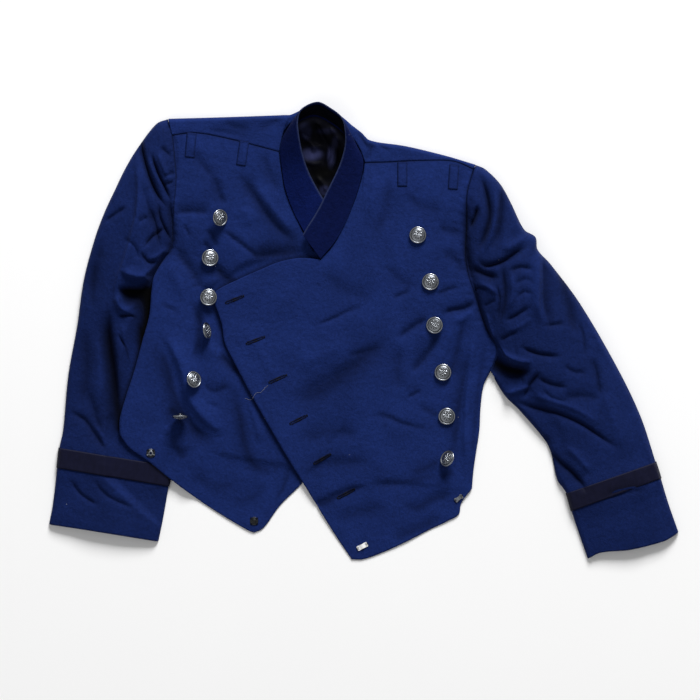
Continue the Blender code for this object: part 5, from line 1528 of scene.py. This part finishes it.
def silk_thread():
    made, nodes, shader = new_material("black silk thread")
    place = nodes.add("ShaderNodeTexCoord").outputs["Object"]
    twist = nodes.add("ShaderNodeTexNoise", Vector=place, Scale=2400.0, Detail=2.0)
    fade = nodes.add("ShaderNodeTexNoise", Vector=place, Scale=90.0, Detail=2.0)
    tint = nodes.mix(fade.outputs["Fac"], (0.0010, 0.0010, 0.0025, 1), (0.004, 0.0045, 0.010, 1))
    rough = nodes.math("MULTIPLY_ADD", twist.outputs["Fac"], 0.2, 0.55)
    raised = nodes.add("ShaderNodeBump", Strength=0.4, Distance=0.0001,
                       Height=twist.outputs["Fac"])
    nodes.feed_all(shader, Base_Color=tint, Roughness=rough, Normal=raised.outputs["Normal"],
                   Specular_IOR_Level=0.12)
    return made


SILK = silk_thread()


def finished(name, shape, finish, sharp=None):
    """A piece from a bmesh in millimetres, with its place in its mesh."""
    bmesh.ops.scale(shape, vec=(MM, MM, MM), verts=shape.verts)
    mesh = bpy.data.meshes.new(name)
    shape.to_mesh(mesh)
    shape.free()
    mesh.shade_smooth()
    if sharp:
        mesh.set_sharp_from_angle(angle=math.radians(sharp))
    mesh.materials.append(finish)
    piece = bpy.data.objects.new(name, mesh)
    bpy.context.scene.collection.objects.link(piece)
    return piece


def stitch(shape, start, end, radius, hump=0.0, sides=6):
    """A short thread from start to end, its middle raised by hump and both ends sunk in."""
    run = end - start
    ring = bmesh.ops.create_cone(shape, cap_ends=True, segments=sides, radius1=radius,
                                 radius2=radius, depth=run.length)["verts"]
    middle = bmesh.ops.bisect_plane(
        shape, geom=[*ring, *{edge for vert in ring for edge in vert.link_edges},
                     *{face for vert in ring for face in vert.link_faces}],
        plane_co=(0, 0, 0), plane_no=(0, 0, 1))["geom_cut"]
    waist = [item for item in middle if isinstance(item, bmesh.types.BMVert)]
    turn = run.to_track_quat("Z", "Y").to_matrix().to_4x4()
    whole = list(set(ring) | set(waist))
    bmesh.ops.transform(shape, matrix=Matrix.Translation((start + end) / 2) @ turn, verts=whole)
    bmesh.ops.translate(shape, vec=(0, 0, hump), verts=waist)


def hole_outline(share):
    """A point of the keyhole slit and the way out from it, at a share of its way round."""
    half = HOLE_LENGTH / 2
    turn = math.tau * share
    across, along = math.sin(turn), -math.cos(turn)
    eye = 1.3 * math.exp(-((along + 1) / 0.22) ** 2)
    point = Vector((along * half, across * (0.35 + eye), 0))
    out = Vector((along * 0.35 if abs(along) > 0.93 else 0, across or 1e-3, 0)).normalized()
    return point, out


def on_left_front(hole, turn, spot, lift):
    """A spot of a buttonhole's own frame, laid on the left front and lifted off it."""
    spot = turn @ spot
    x, y = hole.x + spot.x, hole.y + spot.y
    return Vector((x, y, ground_below(LEFT_FRONT, x, y)[0] + lift))


for number, hole in enumerate(HOLES, start=1):
    work = bmesh.new()
    turn = Matrix.Rotation(math.radians(hole.turn), 4, "Z")
    for i in range(HOLE_STITCHES):
        wander = 0.18 * math.sin(2.7 * i + number)
        # Spread by length along the slit, so most of them lie along its two sides.
        side = (i + 0.5) / HOLE_STITCHES
        share = side + math.sin(2 * math.tau * side) * 0.06
        inner, out = hole_outline(share)
        outer = inner + out * (STITCH_REACH + wander)
        stitch(work, *(on_left_front(hole, turn, spot, -0.05) for spot in (inner, outer)),
               STITCH_RADIUS, 0.42)
    bar_ends = (Vector((HOLE_LENGTH / 2 + 1.0, side * 1.7, 0)) for side in (-1, 1))
    stitch(work, *(on_left_front(hole, turn, spot, 0.1) for spot in bar_ends), 0.55, 0.4)
    sewn_in(finished(f"buttonhole_{number}", work, SILK))

# ---- buttons ----
# Twelve domed buttons of silvered metal in two rows. Each is a stamped shell over a flat
# back, with a rolled rim, a ring of beads and a raised rosette, on a wire shank.

BUTTON_RADIUS = 11.5
BUTTON_NODES = [f"{side}_button_{number}" for side in ("left", "right") for number in range(1, 7)]
DOME = ((0, 4.1), (2.4, 4.02), (4.8, 3.7), (7.0, 3.15), (8.6, 2.6), (9.0, 2.2), (9.3, 2.15),
        (9.7, 2.5), (10.3, 2.75), (10.9, 2.6), (11.35, 2.1), (11.5, 1.4), (11.3, 0.7),
        (10.6, 0.25), (9.6, 0.1), (5.0, 0.0), (0, 0.0))
BEADS = 40
BEAD_RING = 8.05          # radius of the ring of beads
PETALS = 8
PETAL_RINGS = ((4.6, 2.3, 1.15, 3.55), (2.5, 1.5, 0.8, 3.95))   # reach, length, width, height
LEANING = {"right_button_1": 12, "right_button_4": 20, "right_button_5": 8, "right_button_6": 20,
           "left_button_6": 8}          # how much further these hang over on their shanks


def silvered_metal():
    """Old silver plate: bright on what is rubbed, dark in the hollows."""
    made, nodes, shader = new_material("silvered metal")
    place = nodes.add("ShaderNodeTexCoord").outputs["Object"]
    hollow = nodes.add("ShaderNodeAttribute", {"attribute_name": "hollow"}).outputs["Fac"]
    bloom = nodes.add("ShaderNodeTexNoise", Vector=place, Scale=380.0, Detail=4.0, Roughness=0.7)
    scratch = nodes.add("ShaderNodeTexNoise", Vector=place, Scale=1800.0, Detail=2.0)
    dark = nodes.math("MULTIPLY_ADD", bloom.outputs["Fac"], 0.5,
                      nodes.math("SUBTRACT", hollow, 0.2))
    dark = nodes.math("MINIMUM", nodes.math("MAXIMUM", dark, 0.0), 1.0)
    tint = nodes.mix(dark, (0.33, 0.35, 0.38, 1), (0.030, 0.032, 0.04, 1))
    raised = nodes.add("ShaderNodeBump", Strength=0.25, Distance=0.0002,
                       Height=scratch.outputs["Fac"])
    nodes.feed_all(shader, Base_Color=tint, Roughness=nodes.math("MULTIPLY_ADD", dark, 0.3, 0.26),
                   Normal=raised.outputs["Normal"], Metallic=1.0)
    return made


SILVER = silvered_metal()


def mark_hollows(shape, rule):
    """Store how hollow each point is, 0 to 1, for the metal's dark tarnish."""
    layer = shape.verts.layers.float.new("hollow")
    for vert in shape.verts:
        vert[layer] = rule(vert.co)


def turned_shape(profile, steps):
    """A turned bmesh from its profile, top to bottom, as (radius, height)."""
    shape = bmesh.new()
    points = [shape.verts.new((radius, 0, height)) for radius, height in profile]
    edges = [shape.edges.new(pair) for pair in zip(points, points[1:])]
    bmesh.ops.spin(shape, geom=points + edges, cent=(0, 0, 0), axis=(0, 0, 1),
                   angle=math.tau, steps=steps, use_merge=True)
    bmesh.ops.remove_doubles(shape, verts=shape.verts, dist=0.0005)
    bmesh.ops.recalc_face_normals(shape, faces=shape.faces)
    return shape


def button_shape():
    button = turned_shape(DOME, 56)
    for i in range(BEADS):
        angle = math.tau * i / BEADS
        spot = Matrix.Translation((BEAD_RING * math.cos(angle), BEAD_RING * math.sin(angle), 2.85))
        bmesh.ops.create_uvsphere(button, u_segments=6, v_segments=4, radius=0.46, matrix=spot)
    for ring, (reach, length, width, height) in enumerate(PETAL_RINGS):
        for i in range(PETALS):
            angle = math.tau * (i + 0.5 * ring) / PETALS
            place = (Matrix.Rotation(angle, 4, "Z") @ Matrix.Translation((reach, 0, height))
                     @ Matrix.Rotation(math.radians(9), 4, "Y")
                     @ Matrix.Diagonal((length, width, 0.62, 1)))
            bmesh.ops.create_uvsphere(button, u_segments=12, v_segments=8, radius=1, matrix=place)
    boss = Matrix.Translation((0, 0, 4.2)) @ Matrix.Diagonal((1.2, 1.2, 0.7, 1))
    bmesh.ops.create_uvsphere(button, u_segments=16, v_segments=10, radius=1, matrix=boss)
    bmesh.ops.create_cone(button, cap_ends=True, segments=14, radius1=1.5, radius2=2.2,
                          depth=3.2, matrix=Matrix.Translation((0, 0, -1.4)))
    return button


def button_hollow(spot):
    """Dark between the petals and in the groove inside the rim."""
    radius = math.hypot(spot.x, spot.y)
    dome = 4.1 - 0.022 * radius**2
    field = 1.0 if radius < 9.0 and spot.z < dome + 0.12 else 0.0
    groove = math.exp(-((radius - 9.15) / 0.5) ** 2) if spot.z > 1 else 0.0
    return min(1.0, 0.75 * field + groove)


def lie_of_button(node):
    """Middle of a button's rim and the way it faces, from its node's own points."""
    spots = np.array([vertex.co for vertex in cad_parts[node].data.vertices]) / MM
    middle = (spots.min(axis=0) + spots.max(axis=0)) / 2
    _, _, axes = np.linalg.svd(spots - spots.mean(axis=0))
    facing = Vector(axes[2])
    if facing.z < 0:
        facing = -facing
    rim = spots[np.linalg.norm(np.cross(spots - middle, facing), axis=1) > BUTTON_RADIUS * 0.9]
    return Vector(rim.mean(axis=0) if len(rim) else middle), facing


for number, node in enumerate(BUTTON_NODES):
    middle, facing = lie_of_button(node)
    lean = math.radians(LEANING.get(node, 0))
    tilt = facing.angle(Vector((0, 0, 1)))
    facing = Matrix.Rotation(lean, 3, Vector((0, 0, 1)).cross(facing)) @ facing
    middle.z += BUTTON_RADIUS * (math.sin(tilt + lean) - math.sin(tilt))
    shape = button_shape()
    mark_hollows(shape, button_hollow)
    upright = facing.to_track_quat("Z", "Y").to_matrix().to_4x4()
    spin = Matrix.Rotation(0.7 * number, 4, "Z")
    bmesh.ops.transform(shape, verts=shape.verts,
                        matrix=Matrix.Translation(middle - facing * 0.8) @ upright @ spin)
    button = finished(f"dress_{node}", shape, SILVER, 40)
    sewn_in(button, node)

# ---- snaps ----
# Two halves of press studs at the right front's edge, each sewn on through four holes: the
# ring of a socket, whose rim has darkened, and a stud that has gone dark all over.

Snap = namedtuple("Snap", "node profile")
SNAPS = (
    Snap("snap_socket", ((1.4, 0.3), (1.9, 1.2), (3.0, 1.5), (3.6, 0.9), (5.2, 0.8), (6.0, 0.4),
                         (5.8, 0.0), (1.4, 0.0), (1.4, 0.3))),
    Snap("snap_stud", ((0, 2.0), (0.9, 1.9), (1.3, 1.4), (1.2, 0.9), (2.6, 0.9), (3.2, 0.5),
                       (4.9, 0.7), (5.6, 0.3), (5.4, 0.0), (0, 0.0))),
)


def mottled(name, scale, detail, dark, light, rough, rough_gain=0.0, **constants):
    """A finish with one fine mottle in its colour, from dark to light, and its roughness."""
    made, nodes, shader = new_material(name)
    place = nodes.add("ShaderNodeTexCoord").outputs["Object"]
    cloud = nodes.add("ShaderNodeTexNoise", Vector=place, Scale=scale, Detail=detail).outputs["Fac"]
    if rough_gain:
        rough = nodes.math("MULTIPLY_ADD", cloud, rough_gain, rough)
    nodes.feed_all(shader, Base_Color=nodes.mix(cloud, (*dark, 1), (*light, 1)), Roughness=rough,
                   **constants)
    return made


BLACK_STEEL = mottled("blackened steel", 900.0, 3.0, (0.012, 0.012, 0.014),
                      (0.06, 0.065, 0.065), 0.25, 0.3, Metallic=1.0)
SOCKET_RING = 3.1         # outer radius of the socket's raised ring
SNAP_HOLES = 4


def laid_on(tree, node, lift):
    """Where a small part lies on the cloth beneath its node, along the cloth's own slope."""
    low, high = (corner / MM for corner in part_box(node))
    x, y = (low.x + high.x) / 2, (low.y + high.y) / 2
    height, slope = ground_below(tree, x, y)
    upright = Vector((0, 0, 1)).rotation_difference(slope).to_matrix().to_4x4()
    return Matrix.Translation(Vector((x, y, height)) + slope * lift) @ upright


def socket_hollow(spot):
    """Bright on the socket's raised ring, and in three painted highlights on its darkened rim."""
    painted_glint = math.cos(3 * (math.atan2(spot.y, spot.x) - math.pi / 2)) > 0.8
    return 0.05 if math.hypot(spot.x, spot.y) < SOCKET_RING or painted_glint else 0.95


for snap in SNAPS:
    shape = turned_shape(snap.profile, 32)
    mark_hollows(shape, socket_hollow)
    place = laid_on(FRONTS, snap.node, 0.35)
    bmesh.ops.transform(shape, matrix=place, verts=shape.verts)
    metal = SILVER if snap.node == "snap_socket" else BLACK_STEEL
    disc = finished(f"press_{snap.node}", shape, metal, 40)
    sewn_in(disc, snap.node)
    sewing = bmesh.new()
    for i in range(SNAP_HOLES):
        for part in (-1, 0, 1):
            angle = math.tau * (i + 0.5) / SNAP_HOLES + 0.16 * part
            inner = place @ Vector((3.7 * math.cos(angle), 3.7 * math.sin(angle), 0.85))
            outer = place @ Vector((6.9 * math.cos(angle), 6.9 * math.sin(angle), -0.3))
            stitch(sewing, inner, outer, 0.3, 0.5)
    sewn_in(finished(f"sewing_of_{snap.node}", sewing, SILK))

# ---- hook bars ----
# Two small bars of flat bent metal on the left front's hem, for hooks to catch on; one of them
# has the bright reflection of its surroundings painted into a near-white colour. Each is sewn
# down through an eye at both of its ends.

Bar = namedtuple("Bar", "node turn length")
BARS = (Bar("hook_bar_tip", 27, 15.0), Bar("hook_bar_side", 36, 12.0))
# Painted reflection: the tip bar's near-white colour, with little metal, stands in for the bright
# reflection of the pale surroundings.
NICKEL_PAINTED_WHITE = mottled("nickel with painted reflection", 700.0, 3.0, (0.80, 0.80, 0.82), (0.97, 0.97, 0.95), 0.3, 0.2,
                 Metallic=0.3)

for bar in BARS:
    place = (laid_on(LEFT_FRONT, bar.node, 0.5)
             @ Matrix.Rotation(math.radians(bar.turn), 4, "Z"))
    shape = bmesh.new()
    bmesh.ops.create_grid(shape, x_segments=14, y_segments=4, size=0.5)
    bmesh.ops.scale(shape, vec=(bar.length - 1.6, bar.length * 0.44, 1), verts=shape.verts)
    for vert in shape.verts:
        bridge = smooth(1 - abs(vert.co.x) / (bar.length * 0.36))
        vert.co.z = 1.7 * float(bridge)
        vert.co.y *= 1 - 0.1 * float(bridge)
    bmesh.ops.solidify(shape, geom=shape.faces[:], thickness=0.7)
    for side in (-1, 1):
        for half in (-1, 1):
            eye = Matrix.Translation((side * (bar.length / 2 - 1.6), half * 1.7, 0.35))
            ring = turned_shape(((1.0, 0.3), (1.6, 0.35), (1.7, 0.0), (1.6, -0.3), (1.0, -0.3),
                                 (1.0, 0.3)), 14)
            bmesh.ops.transform(ring, matrix=eye, verts=ring.verts)
            held = bpy.data.meshes.new("eye")
            ring.to_mesh(held)
            ring.free()
            shape.from_mesh(held)
            bpy.data.meshes.remove(held)
    mark_hollows(shape, lambda spot: 0.15)
    bmesh.ops.transform(shape, matrix=place, verts=shape.verts)
    metal = NICKEL_PAINTED_WHITE if bar.node == "hook_bar_tip" else SILVER
    sewn_in(finished(f"metal_{bar.node}", shape, metal, 40), bar.node)
    sewing = bmesh.new()
    for side in (-1, 1):
        for i in range(5):
            reach = (i - 2) * 0.55
            inner = place @ Vector((side * (bar.length / 2 - 2.2), reach, 0.5))
            outer = place @ Vector((side * (bar.length / 2 + 0.8), reach * 1.3, -0.3))
            stitch(sewing, inner, outer, 0.26, 0.35)
    sewn_in(finished(f"sewing_of_{bar.node}", sewing, SILK))

# ---- loose thread ----
# A pale thread that has caught on the cloth by the edge of the left front.

THREAD = ((-161, -90), (-153, -92), (-146, -83), (-140, -82), (-134, -76), (-130, -73))
COTTON = mottled("pale cotton thread", 1500.0, 2.0, (0.12, 0.13, 0.18), (0.28, 0.29, 0.33), 0.7,
                 0.2)

line = smooth_path(THREAD, 40)
strand = bmesh.new()
rises = [ground_below(FRONTS, x, y)[0] + 0.35 for x, y in line]
rises = np.convolve(np.pad(rises, 3, mode="edge"), np.full(7, 1 / 7), mode="valid")
rises = np.maximum(rises, [ground_below(FRONTS, x, y)[0] + 0.2 for x, y in line])
spots = [Vector((x, y, z)) for (x, y), z in zip(line, rises)]
for start, end in zip(spots, spots[1:]):
    stitch(strand, start, end + (end - start) * 0.15, 0.17, 0.0)
sewn_in(finished("loose_thread", strand, COTTON))

# ---- surface, lights and camera ----
# A plain pale surface, a broad soft light from beyond the collar, a faint one from the hem's
# side and a dim one all round. The camera looks straight down from far off.

PALE = mottled("pale surface", 3.0, 2.0, (0.93, 0.93, 0.93), (0.95, 0.95, 0.95), 0.9,
               Specular_IOR_Level=0.1)
FLOOR_SIZE = 6.0
floor_shape = bmesh.new()
bmesh.ops.create_grid(floor_shape, x_segments=1, y_segments=1, size=FLOOR_SIZE / 2 / MM)
floor = finished("pale_floor", floor_shape, PALE)
floor.data.transform(Matrix.Translation((0, 0, cad_box[0][2] - 0.0004)))

Light = namedtuple("Light", "name size power place")
LIGHTS = (
    Light("window", 2.6, 660, (1.3, 5.6, 3.2)),
    Light("fill", 4.0, 22, (-1.2, -1.6, 3.2)),
)
for light in LIGHTS:
    lamp = bpy.data.lights.new(light.name, "AREA")
    lamp.energy = light.power
    lamp.size = light.size
    holder = bpy.data.objects.new(light.name, lamp)
    holder.location = light.place
    holder.rotation_euler = (-Vector(light.place)).to_track_quat("-Z", "Y").to_euler()
    bpy.context.scene.collection.objects.link(holder)

world = bpy.data.worlds.new("studio")
world.use_nodes = True
world.node_tree.nodes["Background"].inputs["Color"].default_value = (1, 1, 1, 1)
world.node_tree.nodes["Background"].inputs["Strength"].default_value = 0.26
bpy.context.scene.world = world
bpy.context.scene.view_settings.view_transform = "Standard"

CAMERA_HEIGHT = 6.0
VIEW_WIDTH = 0.945
VIEW_MIDDLE = (-0.0196, -0.025)
lens = bpy.data.cameras.new("camera")
lens.sensor_width = 36
lens.lens = lens.sensor_width * CAMERA_HEIGHT / VIEW_WIDTH
lens.clip_end = 50
camera = bpy.data.objects.new("camera", lens)
camera.location = (*VIEW_MIDDLE, CAMERA_HEIGHT)
bpy.context.scene.collection.objects.link(camera)
bpy.context.scene.camera = camera
